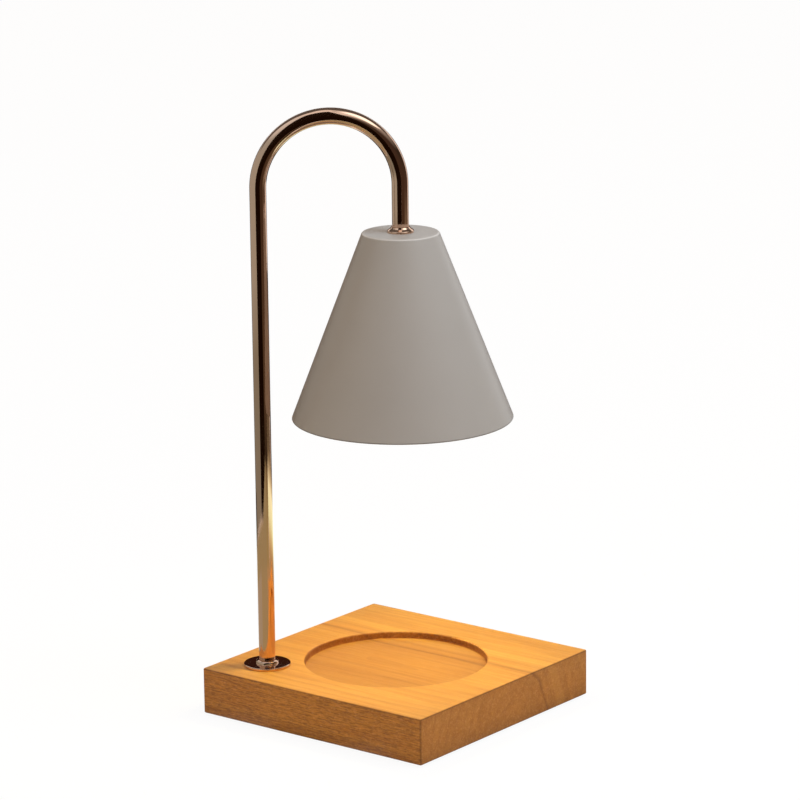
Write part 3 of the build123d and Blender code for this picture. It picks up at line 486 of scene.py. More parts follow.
def makeShadePaint():
    # outside and inside coats meet at the rim: a face whose normal points at the axis is inside
    material, tree, shader, place = newMaterial("shadePaint")
    low, _, centre = box("shade")
    grain = useGroup(tree, fineTexture, {"Vector": place, "Grain Scale": 1500.0, "Swell": 0.25})
    cloud = remap(tree, grain["Cloud"], 0.3, 0.7)
    coat = mixColor(tree, cloud, shadeCoat["outside"], shadeCoat["outsideShade"])
    x, y, z = split(tree, place)
    outward = vectorMaths(tree, "NORMALIZE", fromAxis(tree, x, y, centre))
    normal = surfaceNormal(tree)
    facing = vectorMaths(tree, "DOT_PRODUCT", normal, outward)
    lookingDown = vectorMaths(tree, "DOT_PRODUCT", normal, (0.0, 0.0, -1.0))
    insideRoof = maths(tree, "GREATER_THAN", lookingDown, 0.9)
    upperHalf = maths(tree, "GREATER_THAN", z, centre.z)
    facingAxis = maths(tree, "LESS_THAN", facing, -0.2)
    inside = maths(tree, "MAXIMUM", facingAxis, times(tree, insideRoof, upperHalf))
    coat = mixColor(tree, inside, coat, shadeCoat["inside"])
    # painted highlight along the top edge where it turns over
    upward = times(tree, lookingDown, -1.0)
    turning = times(tree, remap(tree, upward, 0.50, 0.66), remap(tree, upward, 0.985, 0.90))
    paintedEdgeHighlight = times(tree, turning, upperHalf, shadeCoat["paintedEdgeHighlightStrength"])
    coat = mixColor(tree, paintedEdgeHighlight, coat, shadeCoat["paintedEdgeHighlight"])
    rim = remap(tree, z, low.z + shadeCoat["rimWidth"] * mm, low.z + 0.4 * mm)
    coat = mixColor(tree, times(tree, rim, minus(tree, 1.0, inside)), coat, shadeCoat["rim"])
    # dust, and painted light that makes the top plate paler
    dust = useGroup(tree, settledDust, {"Vector": place, "Amount": shadeCoat["dust"]})["Mask"]
    fill(tree, shader, {
        "Base Color": mixColor(tree, dust, coat, rgb(0.55, 0.53, 0.50)),
        "Roughness": remap(tree, grain["Height"], 0.3, 1.0, *shadeCoat["roughness"]),
        "Normal": bumpFrom(tree, grain["Height"], 0.22, 0.00003), "Specular IOR Level": 0.45})
    return material


def makeGlass(name, color, roughness):
    material, tree, shader, place = newMaterial(name)
    marks = useGroup(tree, handling, {"Vector": place, "Smudge Scale": 120.0, "Hairlines": 0.1})["Mask"]
    fill(tree, shader, {
        "Roughness": remap(tree, marks, 0.0, 1.0, roughness, roughness + 0.05),
        "Base Color": color, "Transmission Weight": 1.0, "IOR": 1.47})
    return material


def makeGlow(name, color, strength):
    # hot tungsten with cooler specks
    material, tree, shader, place = newMaterial(name)
    marks = useGroup(tree, handling, {"Vector": place, "Smudge Scale": 500.0, "Hairlines": 0.2})["Mask"]
    fill(tree, shader, {
        "Base Color": mixColor(tree, marks, rgb(0.30, 0.29, 0.28), rgb(0.2, 0.19, 0.18)),
        "Emission Color": mixColor(tree, marks, color, rgb(1.0, 0.55, 0.16)),
        "Emission Strength": strength, "Roughness": 0.4, "Metallic": 1.0})
    return material


finishes = {
    "beech": makeBeech(),
    "shade_paint": makeShadePaint(),
    "lens_glass": makeGlass("lensGlass", rgb(0.98, 0.97, 0.94), 0.03),
    "quartz": makeGlass("quartz", rgb(0.98, 0.98, 0.98), 0.01),
    "tungsten": makeGlow("tungsten", rgb(1.0, 0.78, 0.42), 30.0),
    **{slot: makeMetal(slot, look) for slot, look in metalLooks.items()},
    **{slot: makeSkin(slot, look) for slot, look in skinLooks.items()},
}
for entry in frame["record"]["subparts"]:
    node = nodes[entry["node"]]
    node.data.materials.clear()
    node.data.materials.append(finishes[entry["material_slot"]])
print("materials on all nodes:", len(finishes))


# geometry trees

def closeTree(tree, geometry, given, out):
    # every tree ends the same way: smooth faces, sharp edges kept, one material
    merged = addNode(tree, "GeometryNodeMergeByDistance", {
        "Geometry": geometry, "Distance": 2e-7}).outputs[0]
    smooth = addNode(tree, "GeometryNodeSetShadeSmooth", {
        "Geometry": merged, "Shade Smooth": True}, domain="FACE")
    angle = addNode(tree, "GeometryNodeInputMeshEdgeAngle").outputs["Unsigned Angle"]
    sharp = addNode(tree, "FunctionNodeCompare", {"A": angle, "B": given["Sharp Above"]},
                    data_type="FLOAT", operation="GREATER_THAN").outputs[0]
    edges = addNode(tree, "GeometryNodeSetShadeSmooth", {
        "Geometry": smooth.outputs[0], "Selection": sharp, "Shade Smooth": False}, domain="EDGE")
    real = addNode(tree, "GeometryNodeRealizeInstances", {"Geometry": edges.outputs[0]}).outputs[0]
    done = addNode(tree, "GeometryNodeSetMaterial", {
        "Geometry": real, "Material": given["Finish"]}).outputs[0]
    plug(tree, out.inputs["Geometry"], done)


def makeTurnedTree():
    # turns a closed profile (x = radius, z = height) about an upright axis; a point's own radius
    # rounds its corner. Past Bend Start the axis runs over in a half circle and back down.
    # Walls further out than Thread Radius carry a thread.
    tree, given, out = newGroup("turnedPiece", "GeometryNodeTree", {
        "Geometry": ("Geometry", None),
        "Centre": ("Vector", (0.0, 0.0, 0.0)),
        "Segments": ("Int", 96),
        "Corner Steps": ("Int", 6),
        "Bend Start": ("Float", 100.0),
        "Bend Radius": ("Float", 0.04),
        "Bend Heading": ("Float", 0.0),
        "Thread Radius": ("Float", 1.0),
        "Thread Pitch": ("Float", 0.001),
        "Thread Depth": ("Float", 0.0),
        "Twist Per Ring": ("Float", 0.0),
        "Sharp Above": ("Float", 0.6),
        "Finish": ("Material", None),
    }, {"Geometry": "Geometry"})
    profile = addNode(tree, "GeometryNodeFilletCurve", {
        "Curve": given["Geometry"], "Count": given["Corner Steps"],
        "Radius": addNode(tree, "GeometryNodeInputRadius").outputs[0]}, mode="POLY").outputs[0]
    pointCount = addNode(tree, "GeometryNodeAttributeDomainSize", {"Geometry": profile},
                         component="CURVE").outputs["Point Count"]
    around = plus(tree, given["Segments"], 1.0)
    along = plus(tree, pointCount, 1.0)
    grid = addNode(tree, "GeometryNodeMeshGrid", {"Vertices X": along, "Vertices Y": around}).outputs["Mesh"]
    index = addNode(tree, "GeometryNodeInputIndex").outputs[0]
    ring = maths(tree, "FLOOR", divide(tree, plus(tree, index, 0.5), around))
    step = minus(tree, index, times(tree, ring, around))
    pointIndex = maths(tree, "MODULO", ring, pointCount)
    sampled = addNode(tree, "GeometryNodeSampleIndex", {
        "Geometry": profile, "Value": addNode(tree, "GeometryNodeInputPosition").outputs[0],
        "Index": pointIndex}, data_type="FLOAT_VECTOR", domain="POINT").outputs[0]
    reach, _, height = split(tree, sampled)
    share = divide(tree, step, given["Segments"])
    turn = times(tree, timesPlus(tree, pointIndex, given["Twist Per Ring"], share), math.tau)
    wave = maths(tree, "FRACT", minus(tree, divide(tree, height, given["Thread Pitch"]), share))
    valley = maths(tree, "ABSOLUTE", timesPlus(tree, wave, 2.0, -1.0))
    cut = times(tree, times(tree, valley, given["Thread Depth"]),
                maths(tree, "GREATER_THAN", reach, given["Thread Radius"]))
    radius = minus(tree, reach, cut)
    # the bent axis: how far round the half circle this height is
    bendStart, bendRadius = given["Bend Start"], given["Bend Radius"]
    past = minus(tree, height, bendStart)
    bent = divide(tree, past, bendRadius)
    bent = maths(tree, "MINIMUM", maths(tree, "MAXIMUM", bent, 0.0), math.pi)
    cosine, sine = maths(tree, "COSINE", bent), maths(tree, "SINE", bent)
    outward = times(tree, radius, maths(tree, "COSINE", turn))
    sideways = times(tree, radius, maths(tree, "SINE", turn))
    over = times(tree, bendRadius, minus(tree, 1.0, cosine))
    over = timesPlus(tree, outward, cosine, over)
    rise = timesPlus(tree, bendRadius, sine, maths(tree, "MINIMUM", height, bendStart))
    rise = minus(tree, rise, times(tree, outward, sine))
    drop = maths(tree, "MAXIMUM", minus(tree, past, times(tree, bendRadius, math.pi)), 0.0)
    spot = combine(tree, over, sideways, minus(tree, rise, drop))
    headed = addNode(tree, "ShaderNodeVectorRotate", {
        "Vector": spot, "Angle": given["Bend Heading"]}, rotation_type="Z_AXIS").outputs[0]
    moved = addNode(tree, "GeometryNodeSetPosition", {
        "Geometry": grid,
        "Position": vectorMaths(tree, "ADD", headed, given["Centre"])}).outputs[0]
    closeTree(tree, moved, given, out)
    return tree


def makeCoilTree():
    tree, given, out = newGroup("wireCoil", "GeometryNodeTree", {
        "Centre": ("Vector", (0.0, 0.0, 0.0)),
        "Turns": ("Float", 12.0),
        "Coil Radius": ("Float", 0.001),
        "Height": ("Float", 0.005),
        "Wire Radius": ("Float", 0.0001),
        "Leg Length": ("Float", 0.005),
        "Sharp Above": ("Float", 1.2),
        "Finish": ("Material", None),
    }, {"Geometry": "Geometry"})
    coil = addNode(tree, "GeometryNodeCurveSpiral", {
        "Resolution": 18, "Rotations": given["Turns"],
        "Start Radius": given["Coil Radius"], "End Radius": given["Coil Radius"],
        "Height": given["Height"]}).outputs[0]
    legs = []
    for side in (-1.0, 1.0):
        x = times(tree, given["Coil Radius"], side * 0.5)
        low = given["Height"]
        high = plus(tree, low, given["Leg Length"])
        legs.append(addNode(tree, "GeometryNodeCurvePrimitiveLine", {
            "Start": combine(tree, x, 0.0, low), "End": combine(tree, x, 0.0, high)}).outputs[0])
    joined = addNode(tree, "GeometryNodeJoinGeometry")
    for curve in (coil, *legs):
        tree.links.new(curve, joined.inputs[0])
    ring = addNode(tree, "GeometryNodeCurvePrimitiveCircle", {
        "Resolution": 8, "Radius": given["Wire Radius"]}).outputs[0]
    wire = addNode(tree, "GeometryNodeCurveToMesh", {
        "Curve": joined.outputs[0], "Profile Curve": ring, "Fill Caps": True}).outputs[0]
    moved = addNode(tree, "GeometryNodeTransform", {
        "Geometry": wire, "Translation": given["Centre"]}).outputs[0]
    closeTree(tree, moved, given, out)
    return tree


turnedPiece = makeTurnedTree()
wireCoil = makeCoilTree()
print("geometry trees ready")


# from a tree to a plain mesh

def profileCurve(name, points):
    # points: (radius, height) or (radius, height, corner rounding)
    curve = bpy.data.curves.new(name + "Profile", "CURVE")
    curve.dimensions = "3D"
    spline = curve.splines.new("POLY")
    spline.points.add(len(points) - 1)
    for knot, (reach, height, *rounding) in zip(spline.points, points):
        knot.co = (reach, 0.0, height, 1.0)
        knot.radius = rounding[0] if rounding else 0.0
    spline.use_cyclic_u = True
    return curve


def addObject(name, data):
    thing = bpy.data.objects.new(name, data)
    bpy.context.scene.collection.objects.link(thing)
    return thing


def bakeModifier(thing, modifier):
    evaluated = thing.evaluated_get(bpy.context.evaluated_depsgraph_get())
    mesh = bpy.data.meshes.new_from_object(evaluated)
    thing.modifiers.remove(modifier)
    mesh.name = thing.name
    return mesh


def grow(name, data, tree, values, finish):
    carrier = addObject(name + "Carrier", data)
    modifier = carrier.modifiers.new(tree.name, "NODES")
    modifier.node_group = tree
    ids = {item.name: item.identifier for item in tree.interface.items_tree if item.in_out == "INPUT"}
    for key, value in {**values, "Finish": finishes[finish]}.items():
        modifier[ids[key]] = value
    mesh = bakeModifier(carrier, modifier)
    bpy.data.objects.remove(carrier)
    mesh.name = name
    pointOutward(mesh)
    return addObject(name, mesh)


def pointOutward(mesh):
    shape = bmesh.new()
    shape.from_mesh(mesh)
    if shape.calc_volume(signed=True) < 0:
        bmesh.ops.reverse_faces(shape, faces=shape.faces)
    shape.to_mesh(mesh)
    shape.free()


def settle(piece, body, replaced):
    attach(piece, body)
    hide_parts(replaced)


def turn(name, replaced, points, slot, body="lamp", foot=None, **values):
    # stands on the middle of its solid's underside unless a foot is given
    low, _, middle = box(replaced)
    foot = foot or (middle.x, middle.y, low.z)
    settings = {"Centre": foot, **{key.replace("_", " "): value for key, value in values.items()}}
    inMetres = [tuple(number * mm for number in point) for point in points]
    piece = grow(name, profileCurve(name, inMetres), turnedPiece, settings, slot)
    settle(piece, body, replaced)


# the bent tube, with bored ends for the two nipples
tubeSizes = {"radius": 4.5, "wall": 1.0, "boredRadius": 4.05, "boredDepth": 10.0,
             "bendRadius": 38.0, "heading": 45.0, "arcSteps": 120, "endRound": 0.15,
             "collarFloor": 0.8}      # the metal left under the tube's end in its collar


def makeTube():
    low, high, _ = box("arm_tube")
    middle, size = box("foot_flange")[2], SimpleNamespace(**tubeSizes)
    inner, bored, depth = size.radius - size.wall, size.boredRadius, size.boredDepth
    spring = high.z / mm - size.radius - size.bendRadius
    tip = box("shade_collar")[0].z / mm + size.collarFloor
    post, bendLength = spring - low.z / mm, math.pi * size.bendRadius
    length = post + bendLength + spring - tip
    arc = [post + bendLength * step / size.arcSteps for step in range(size.arcSteps + 1)]
    points = [(size.radius, 0.0, size.endRound), *((size.radius, at) for at in arc),
              (size.radius, length, size.endRound),
              (bored, length), (bored, length - depth), (inner, length - depth),
              *((inner, at) for at in reversed(arc)),
              (inner, depth), (bored, depth), (bored, 0.0)]
    turn("armTube", "arm_tube", points, "rose_gold_plate", foot=(middle.x, middle.y, low.z),
         Segments=64, Bend_Start=post * mm, Bend_Radius=size.bendRadius * mm,
         Bend_Heading=math.radians(size.heading))


makeTube()

# polished flange on the wood: a thin disc with a raised hub round the tube
flangeSizes = {"radius": 12.8, "footRound": 0.15, "disc": 1.6, "discRound": 0.45, "crease": 0.3,
               "hubRadius": 6.3, "hub": 3.4, "hubRound": 1.5, "socketRadius": 4.55,
               "socketRound": 0.2, "web": 1.8, "holeRadius": 4.2}


def makeFlange():
    size = SimpleNamespace(**flangeSizes)
    points = [(size.holeRadius, 0), (size.radius, 0, size.footRound),
              (size.radius, size.disc, size.discRound), (size.hubRadius, size.disc, size.crease),
              (size.hubRadius, size.hub, size.hubRound), (size.socketRadius, size.hub, size.socketRound),
              (size.socketRadius, size.web), (size.holeRadius, size.web)]
    turn("footFlange", "foot_flange", points, "rose_gold_plate", Segments=128, Corner_Steps=8)


makeFlange()

# small flared collar where the tube enters the shade
collarSizes = {"lipRadius": 7.2, "footRound": 0.1, "lip": 1.05, "lipRound": 0.7,
               "coneRadius": 5.6, "cone": 2.15, "coneRound": 0.5, "neckRadius": 5.05,
               "neckRound": 0.05, "top": 3.0, "socketRadius": 4.55, "socketRound": 0.12,
               "web": 0.8, "holeRadius": 4.2}


def makeCollar():
    size = SimpleNamespace(**collarSizes)
    points = [(size.holeRadius, 0), (size.lipRadius, 0, size.footRound),
              (size.lipRadius, size.lip, size.lipRound), (size.coneRadius, size.cone, size.coneRound),
              (size.neckRadius, size.top, size.neckRound),
              (size.socketRadius, size.top, size.socketRound),
              (size.socketRadius, size.web), (size.holeRadius, size.web)]
    turn("shadeCollar", "shade_collar", points, "rose_gold_plate", Segments=96, Corner_Steps=6)


makeCollar()

# cone shade, flat on top, one even wall
shadeSizes = {"topRadius": 20.75, "bottomRadius": 60.0, "height": 102.0, "wall": 1.2,
              "topRound": 1.5, "rimRound": 0.4, "insideRound": 0.9, "holeRadius": 4.2}


def makeShade():
    _, high, middle = box("shade")
    size = SimpleNamespace(**shadeSizes)
    run = size.bottomRadius - size.topRadius
    level = size.wall * math.hypot(run, size.height) / size.height
    innerTop = size.topRadius + size.wall * run / size.height - level
    points = [(size.holeRadius, 0), (size.topRadius, 0, size.topRound),
              (size.bottomRadius, -size.height, size.rimRound),
              (size.bottomRadius - level, -size.height, size.rimRound),
              (innerTop, -size.wall, size.insideRound), (size.holeRadius, -size.wall)]
    turn("shadeCone", "shade", points, "shade_paint", foot=(middle.x, middle.y, high.z),
         Segments=192, Corner_Steps=10)


makeShade()
print("tube, flange, collar and shade made")

# hollow threaded nipples, chamfered at both ends
nippleSizes = {"radius": 4.0, "bore": 3.1, "pitch": 1.0, "threadDepth": 0.32, "stepsPerPitch": 8,
               "chamfer": 0.35, "chamferHeight": 0.4, "plainSteps": 4,
               "threadsBeyond": 3.7}      # walls further out than this carry the thread


def makeNipple(node, name):
    low, high, _ = box(node)
    size = SimpleNamespace(**nippleSizes)
    length, tipRadius = (high.z - low.z) / mm, size.radius - size.chamfer
    count = round(length / size.pitch * size.stepsPerPitch)
    threaded = range(size.plainSteps, count - size.plainSteps + 1)
    wall = [(size.radius, length * step / count) for step in threaded]
    points = [(size.bore, 0), (tipRadius, 0), (size.radius, size.chamferHeight), *wall,
              (size.radius, length - size.chamferHeight), (tipRadius, length), (size.bore, length)]
    turn(name, node, points, "zinc_steel", Segments=48, Corner_Steps=1, Sharp_Above=0.9,
         Thread_Radius=size.threadsBeyond * mm, Thread_Pitch=size.pitch * mm,
         Thread_Depth=size.threadDepth * mm)


makeNipple("lower_nipple", "lowerNipple")
makeNipple("upper_nipple", "upperNipple")

# the bulb: pressed glass body, faceted mirror, front lens and the coil inside its capsule
bulbSizes = {"radius": 25.0, "rim": 3.0, "mirrorRadius": 22.5, "ledge": 1.7, "seat": 1.0,
             "neckRadius": 8.0, "neckTop": 40.0, "bore": 4.6, "shellTop": 33.0, "mirrorTop": 30.0,
             "lining": 0.3, "behindMirror": 0.35, "facetSides": 36, "facetRings": 11, "innerRings": 24,
             "outerRings": 30, "seatRound": 0.25, "bodyRound": 0.5, "holeGap": 0.02,
             "lensInset": 0.2, "lensThickness": 1.5, "lensRadius": 23.4, "lensRound": 0.25}


def bowl(radius, rimHeight, topHeight, innerRadius, count):
    # points of a parabola from its rim inwards, with its vertex at topHeight
    bow = (topHeight - rimHeight) / radius ** 2
    reaches = [radius + (innerRadius - radius) * step / count for step in range(count + 1)]
    return [(reach, topHeight - bow * reach ** 2) for reach in reaches]


def makeBulb():
    low, _, middle = box("bulb_reflector")
    front = (middle.x, middle.y, low.z)
    size = SimpleNamespace(**bulbSizes)

    def mirrorBowl(behind, hole, count):
        return bowl(size.mirrorRadius + behind, size.rim + behind, size.mirrorTop + behind, hole, count)

    seat, bore = size.mirrorRadius + size.seat, size.bore
    inner = mirrorBowl(size.behindMirror, bore + size.behindMirror, size.innerRings)
    outer = bowl(size.radius, size.rim, size.shellTop, size.neckRadius, size.outerRings)
    points = [(size.mirrorRadius, size.ledge), (seat, size.ledge), (seat, 0, size.seatRound),
              (size.radius, 0, size.bodyRound), *outer, (size.neckRadius, size.neckTop, size.bodyRound),
              (bore, size.neckTop), (bore, inner[-1][1]), *reversed(inner[:-1]),
              (size.mirrorRadius, size.rim)]
    turn("bulbBody", "bulb_reflector", points, "mirror_glass", "bulb", front, Segments=96)

    face = mirrorBowl(0.0, bore + size.holeGap, size.facetRings)
    back = mirrorBowl(size.lining, bore + size.holeGap, size.facetRings)
    turn("bulbMirror", "bulb_reflector", [*face, *reversed(back)], "mirror_glass", "bulb", front,
         Segments=size.facetSides, Twist_Per_Ring=0.5 / size.facetSides, Sharp_Above=0.01)

    bottom, top, radius = size.lensInset, size.lensInset + size.lensThickness, size.lensRadius
    disc = [(0.0, bottom), (radius, bottom, size.lensRound), (radius, top, size.lensRound), (0.0, top)]
    turn("bulbLens", "bulb_lens", disc, "lens_glass", "bulb", front, Segments=96)


makeBulb()

coilSizes = {"turns": 11, "coilRadius": 0.78, "wireRadius": 0.11, "height": 5.0}


def makeCoil():
    low, high, middle = box("bulb_filament")
    size = SimpleNamespace(**coilSizes)
    coil = grow("bulbCoil", bpy.data.meshes.new("bulbCoilSeed"), wireCoil, {
        "Centre": (middle.x, middle.y, low.z + size.wireRadius * mm), "Turns": size.turns,
        "Coil Radius": size.coilRadius * mm, "Height": (size.height - 2 * size.wireRadius) * mm,
        "Wire Radius": size.wireRadius * mm, "Leg Length": high.z - low.z - size.height * mm}, "tungsten")
    settle(coil, "bulb", "bulb_filament")


makeCoil()
print("nipples and bulb made")


# the block's own shape is right; a merged copy gets clean normals on its rounded edges
def makeBlock():
    mesh = nodes["base_block"].data.copy()
    for name in ("custom_normal", "sharp_edge", "sharp_face"):
        if name in mesh.attributes:
            mesh.attributes.remove(mesh.attributes[name])
    shape = bmesh.new()
    shape.from_mesh(mesh)
    bmesh.ops.remove_doubles(shape, verts=shape.verts, dist=1e-6)
    for face in shape.faces:
        face.smooth = True
    shape.to_mesh(mesh)
    shape.free()
    mesh.set_sharp_from_angle(angle=math.radians(35))
    block = addObject("woodBlock", mesh)
    weighted = block.modifiers.new("weightedNormals", "WEIGHTED_NORMAL")
    weighted.keep_sharp = True
    weighted.mode = "FACE_AREA"
    block.data = bakeModifier(block, weighted)
    settle(block, "lamp", "base_block")


makeBlock()
print("block made")


# stage: floor, reflection cards, lights and camera
stageLook = {
    "floorSize": 12.0, "floorColor": rgb(0.92, 0.92, 0.92), "floorShade": rgb(0.89, 0.89, 0.89),
    "floorBounce": rgb(0.54, 0.49, 0.43), "floorGlow": 0.93,
    "skyColor": rgb(1.0, 0.836, 0.702), "skyLevel": 0.28, "skyTop": 1.16,
}
# Cards and floor sheets that only mirror rays see, in metres round the post. Angles are in degrees
# from +X, topAngles along the top edge. foot and top are heights, or pairs of heights for the first
# and the last angle. skirt is the reach where a card's sheet on the floor begins. tones are
# (height, red, green, blue), or (reach, ...) with byReach.
reflectionCards = {
    "frontCard": {"angles": (-88, -23), "topAngles": (-78, -25), "distance": 0.4, "top": 1.3, "skirt": 0.3,
        "tones": [(0.0, 0.01, 0.004, 0.001), (0.8, 0.012, 0.005, 0.002)]},
    "darkCard": {"angles": (-23, 16), "topAngles": (-25, 16), "distance": 0.42, "top": 0.58, "skirt": 0.3,
        "tones": [(0.0, 0.03, 0.02, 0.012), (0.05, 0.1, 0.07, 0.042), (0.18, 0.07, 0.042, 0.026),
            (0.42, 0.06, 0.04, 0.03), (0.55, 0.3, 0.28, 0.26)]},
    "sideCard": {"angles": (16, 66), "distance": 0.42, "top": 0.58, "skirt": 0.3,
        "tones": [(0.0, 0.62, 0.58, 0.4), (0.008, 0.3, 0.25, 0.15), (0.018, 0.1, 0.08, 0.05),
            (0.05, 0.2, 0.17, 0.12), (0.16, 0.22, 0.18, 0.13), (0.22, 0.08, 0.05, 0.035),
            (0.4, 0.04, 0.03, 0.02), (0.55, 0.38, 0.37, 0.36)]},
    "leftCard": {"angles": (-196, -88), "topAngles": (-196, -78), "distance": 0.41, "top": 1.5, "skirt": 0.3,
        "tones": [(0.0, 0.27, 0.28, 0.24), (0.09, 0.28, 0.29, 0.25), (0.15, 0.44, 0.46, 0.42),
            (0.58, 0.44, 0.48, 0.47), (0.7, 0.72, 0.77, 0.8), (0.95, 0.82, 0.88, 0.92)]},
    "topCard": {"angles": (48, 200), "distance": 0.35, "foot": (0.46, 0.44), "top": 2.4,
        "tones": [(0.0, 0.09, 0.085, 0.08), (0.9, 0.13, 0.125, 0.12)]},
    "backCard": {"angles": (92, 165), "distance": 0.9, "top": 0.49,
        "tones": [(0.0, 0.044, 0.012, 0.006), (0.5, 0.03, 0.012, 0.008)]},
    "backFloor": {"angles": (75, 185), "distance": 0.92, "top": 0.04, "skirt": 0.3,
        "tones": [(0.0, 0.05, 0.035, 0.025)]},
    "lowLeft": {"angles": (-200, -86), "distance": 0.21, "top": 0.028,
        "tones": [(0.0, 0.42, 0.38, 0.22), (0.06, 0.39, 0.37, 0.23)]},
    "lowFront": {"angles": (-86, -23), "distance": 0.21, "top": (0.014, 0.076),
        "tones": [(0.0, 0.42, 0.38, 0.22), (0.06, 0.39, 0.37, 0.23)]},
    "lowRight": {"angles": (-23, 6), "distance": 0.21, "top": (0.072, 0.068),
        "tones": [(0.0, 0.44, 0.38, 0.18), (0.045, 0.38, 0.34, 0.18), (0.07, 0.22, 0.17, 0.09)]},
    "nearFloor": {"angles": (-108, -23), "distance": 0.29, "foot": 0.001, "top": 0.002, "skirt": 0.035,
        "tones": [(0.0, 0.44, 0.39, 0.23)]},
    "nearLeft": {"angles": (-205, -108), "distance": 0.29, "foot": 0.001, "top": 0.002, "skirt": 0.035,
        "tones": [(0.0, 0.46, 0.44, 0.35)]},
    # painted reflections on the floor beyond the block, seen only in mirrors: a warm tone near it and a
    # bright warm glow further out, toned by the reach from the post
    "paintedWarmReflection": {"angles": (-23, 138), "distance": 0.223, "foot": 0.001, "top": 0.0011, "skirt": 0.1,
        "byReach": True,
        "tones": [(0.1, 0.62, 0.46, 0.27), (0.223, 0.56, 0.4, 0.21)]},
    "paintedGlowReflection": {"angles": (9, 138), "distance": 0.455, "foot": 0.001, "top": 0.0011, "skirt": 0.223,
        "byReach": True,
        "tones": [(0.223, 0.56, 0.4, 0.21), (0.248, 0.62, 0.48, 0.25), (0.276, 0.85, 0.8, 0.45),
            (0.316, 1.15, 1.4, 0.95), (0.376, 1.3, 1.52, 1.15), (0.402, 0.85, 0.83, 0.59),
            (0.445, 0.3, 0.25, 0.15)]},
}
softbox = {"radiance": 6.8, "color": (0.86, 1.03, 1.22), "distance": 2.2, "angle": 17.0,
           "elevation": 52.0, "radius": 0.62, "targetHeight": 0.2}
# what mirror rays see of the softbox: brightest in its middle
softboxFace = {"distance": 2.0, "angle": 17.7, "elevation": 52.0, "targetHeight": 0.3, "halfWidth": 0.86,
               "halfHeight": 0.96, "core": 0.30, "edge": 0.90, "bright": 2.4, "faint": 0.7,
               "color": rgb(0.95, 0.98, 1.0), "corners": 48}
bulbLight = {"energy": 0.345, "color": (1.0, 0.79, 0.26), "radius": 22.0, "gap": 0.4}
cameraView = {"azimuth": 38.156, "elevation": 13.974, "roll": -0.676, "distance": 2.18354,
              "lens": 178.72, "shiftAcross": 0.003887, "shiftUp": 0.166519, "footHeight": 0.0015}


def heading(angle, elevation=0.0):
    # the direction at these degrees from +X and above the level
    angle, elevation = math.radians(angle), math.radians(elevation)
    flat = math.cos(elevation)
    return Vector((flat * math.cos(angle), flat * math.sin(angle), math.sin(elevation)))


def showBackground(tree, background, otherwise, share=1.0):
    # camera, mirror and glass rays see the plain white background; the rest get the real surface
    path = addNode(tree, "ShaderNodeLightPath").outputs
    seen = plus(tree, path["Is Camera Ray"], path["Is Glossy Ray"], clamp=True)
    seen = plus(tree, seen, path["Is Transmission Ray"], clamp=True)
    if share != 1.0:
        seen = times(tree, seen, share)
    return addNode(tree, "ShaderNodeMixShader", {0: seen, 1: otherwise, 2: background}).outputs[0]


def makeWorld():
    world = bpy.data.worlds.new("studio")
    bpy.context.scene.world = world
    world.use_nodes = True
    tree = world.node_tree
    tree.nodes.clear()
    height = split(tree, addNode(tree, "ShaderNodeTexCoord").outputs["Generated"])[2]
    level = remap(tree, height, 0.0, 1.0, stageLook["skyLevel"], stageLook["skyTop"])
    ambient = addNode(tree, "ShaderNodeBackground", {"Color": stageLook["skyColor"], "Strength": level})
    white = addNode(tree, "ShaderNodeBackground", {"Color": rgb(1, 1, 1), "Strength": 1.0})
    addNode(tree, "ShaderNodeOutputWorld", {
        "Surface": showBackground(tree, white.outputs[0], ambient.outputs[0])})


def addSheet(name, places, faces, material):
    mesh = bpy.data.meshes.new(name)
    mesh.from_pydata(places, [], faces)
    mesh.materials.append(material)
    sheet = addObject(name, mesh)
    return sheet


def makeFloor():
    half = stageLook["floorSize"] / 2
    material, tree, shader, place = newMaterial("floorPaper")
    pale = mixColor(tree, noise(tree, place, 3.0, 2.0), stageLook["floorColor"], stageLook["floorShade"])
    cameraRay = addNode(tree, "ShaderNodeLightPath").outputs["Is Camera Ray"]
    fill(tree, shader, {
        "Base Color": mixColor(tree, cameraRay, stageLook["floorBounce"], pale),
        "Roughness": 0.9, "Specular IOR Level": 0.1})
    glow = addNode(tree, "ShaderNodeEmission", {"Color": rgb(1, 1, 1), "Strength": 1.0}).outputs[0]
    paper = showBackground(tree, glow, shader.outputs[0], stageLook["floorGlow"])
    # seen from beneath the sheet is clear, so the underside of the lamp shows
    below = addNode(tree, "ShaderNodeNewGeometry").outputs["Backfacing"]
    clear = addNode(tree, "ShaderNodeBsdfTransparent").outputs[0]
    surface = addNode(tree, "ShaderNodeMixShader", {0: below, 1: paper, 2: clear}).outputs[0]
    fill(tree, tree.nodes["Material Output"], {"Surface": surface})
    corners = [(-half, -half, 0), (half, -half, 0), (half, half, 0), (-half, half, 0)]
    addSheet("floor", corners, [(0, 1, 2, 3)], material)


def glowingSheet(name, places, faces):
    material = bpy.data.materials.new(name)
    material.use_nodes = True
    tree = material.node_tree
    glow = addNode(tree, "ShaderNodeEmission", {"Strength": 1.0})
    fill(tree, tree.nodes["Material Output"], {"Surface": glow.outputs[0]})
    sheet = addSheet(name, places, faces, material)
    for kind in ("camera", "diffuse", "transmission", "shadow", "volume_scatter"):
        setattr(sheet, "visible_" + kind, False)
    return tree, addNode(tree, "ShaderNodeTexCoord").outputs["Object"], glow


def distanceFrom(tree, place, point):
    return vectorMaths(tree, "LENGTH", vectorMaths(tree, "SUBTRACT", place, tuple(point)))


def blockReach(post, angle):
    # how far the wood reaches from the post at this angle
    low, high, _ = box("base_block")
    ways = []
    for side, start, first, last in ((math.cos(angle), post.x, low.x, high.x),
                                     (math.sin(angle), post.y, low.y, high.y)):
        if abs(side) > 1e-6:
            ways.append(((last if side > 0 else first) - start) / side)
    return min(ways)


def ends(value):
    return value if isinstance(value, tuple) else (value, value)


def between(pair, share):
    return pair[0] + (pair[1] - pair[0]) * share


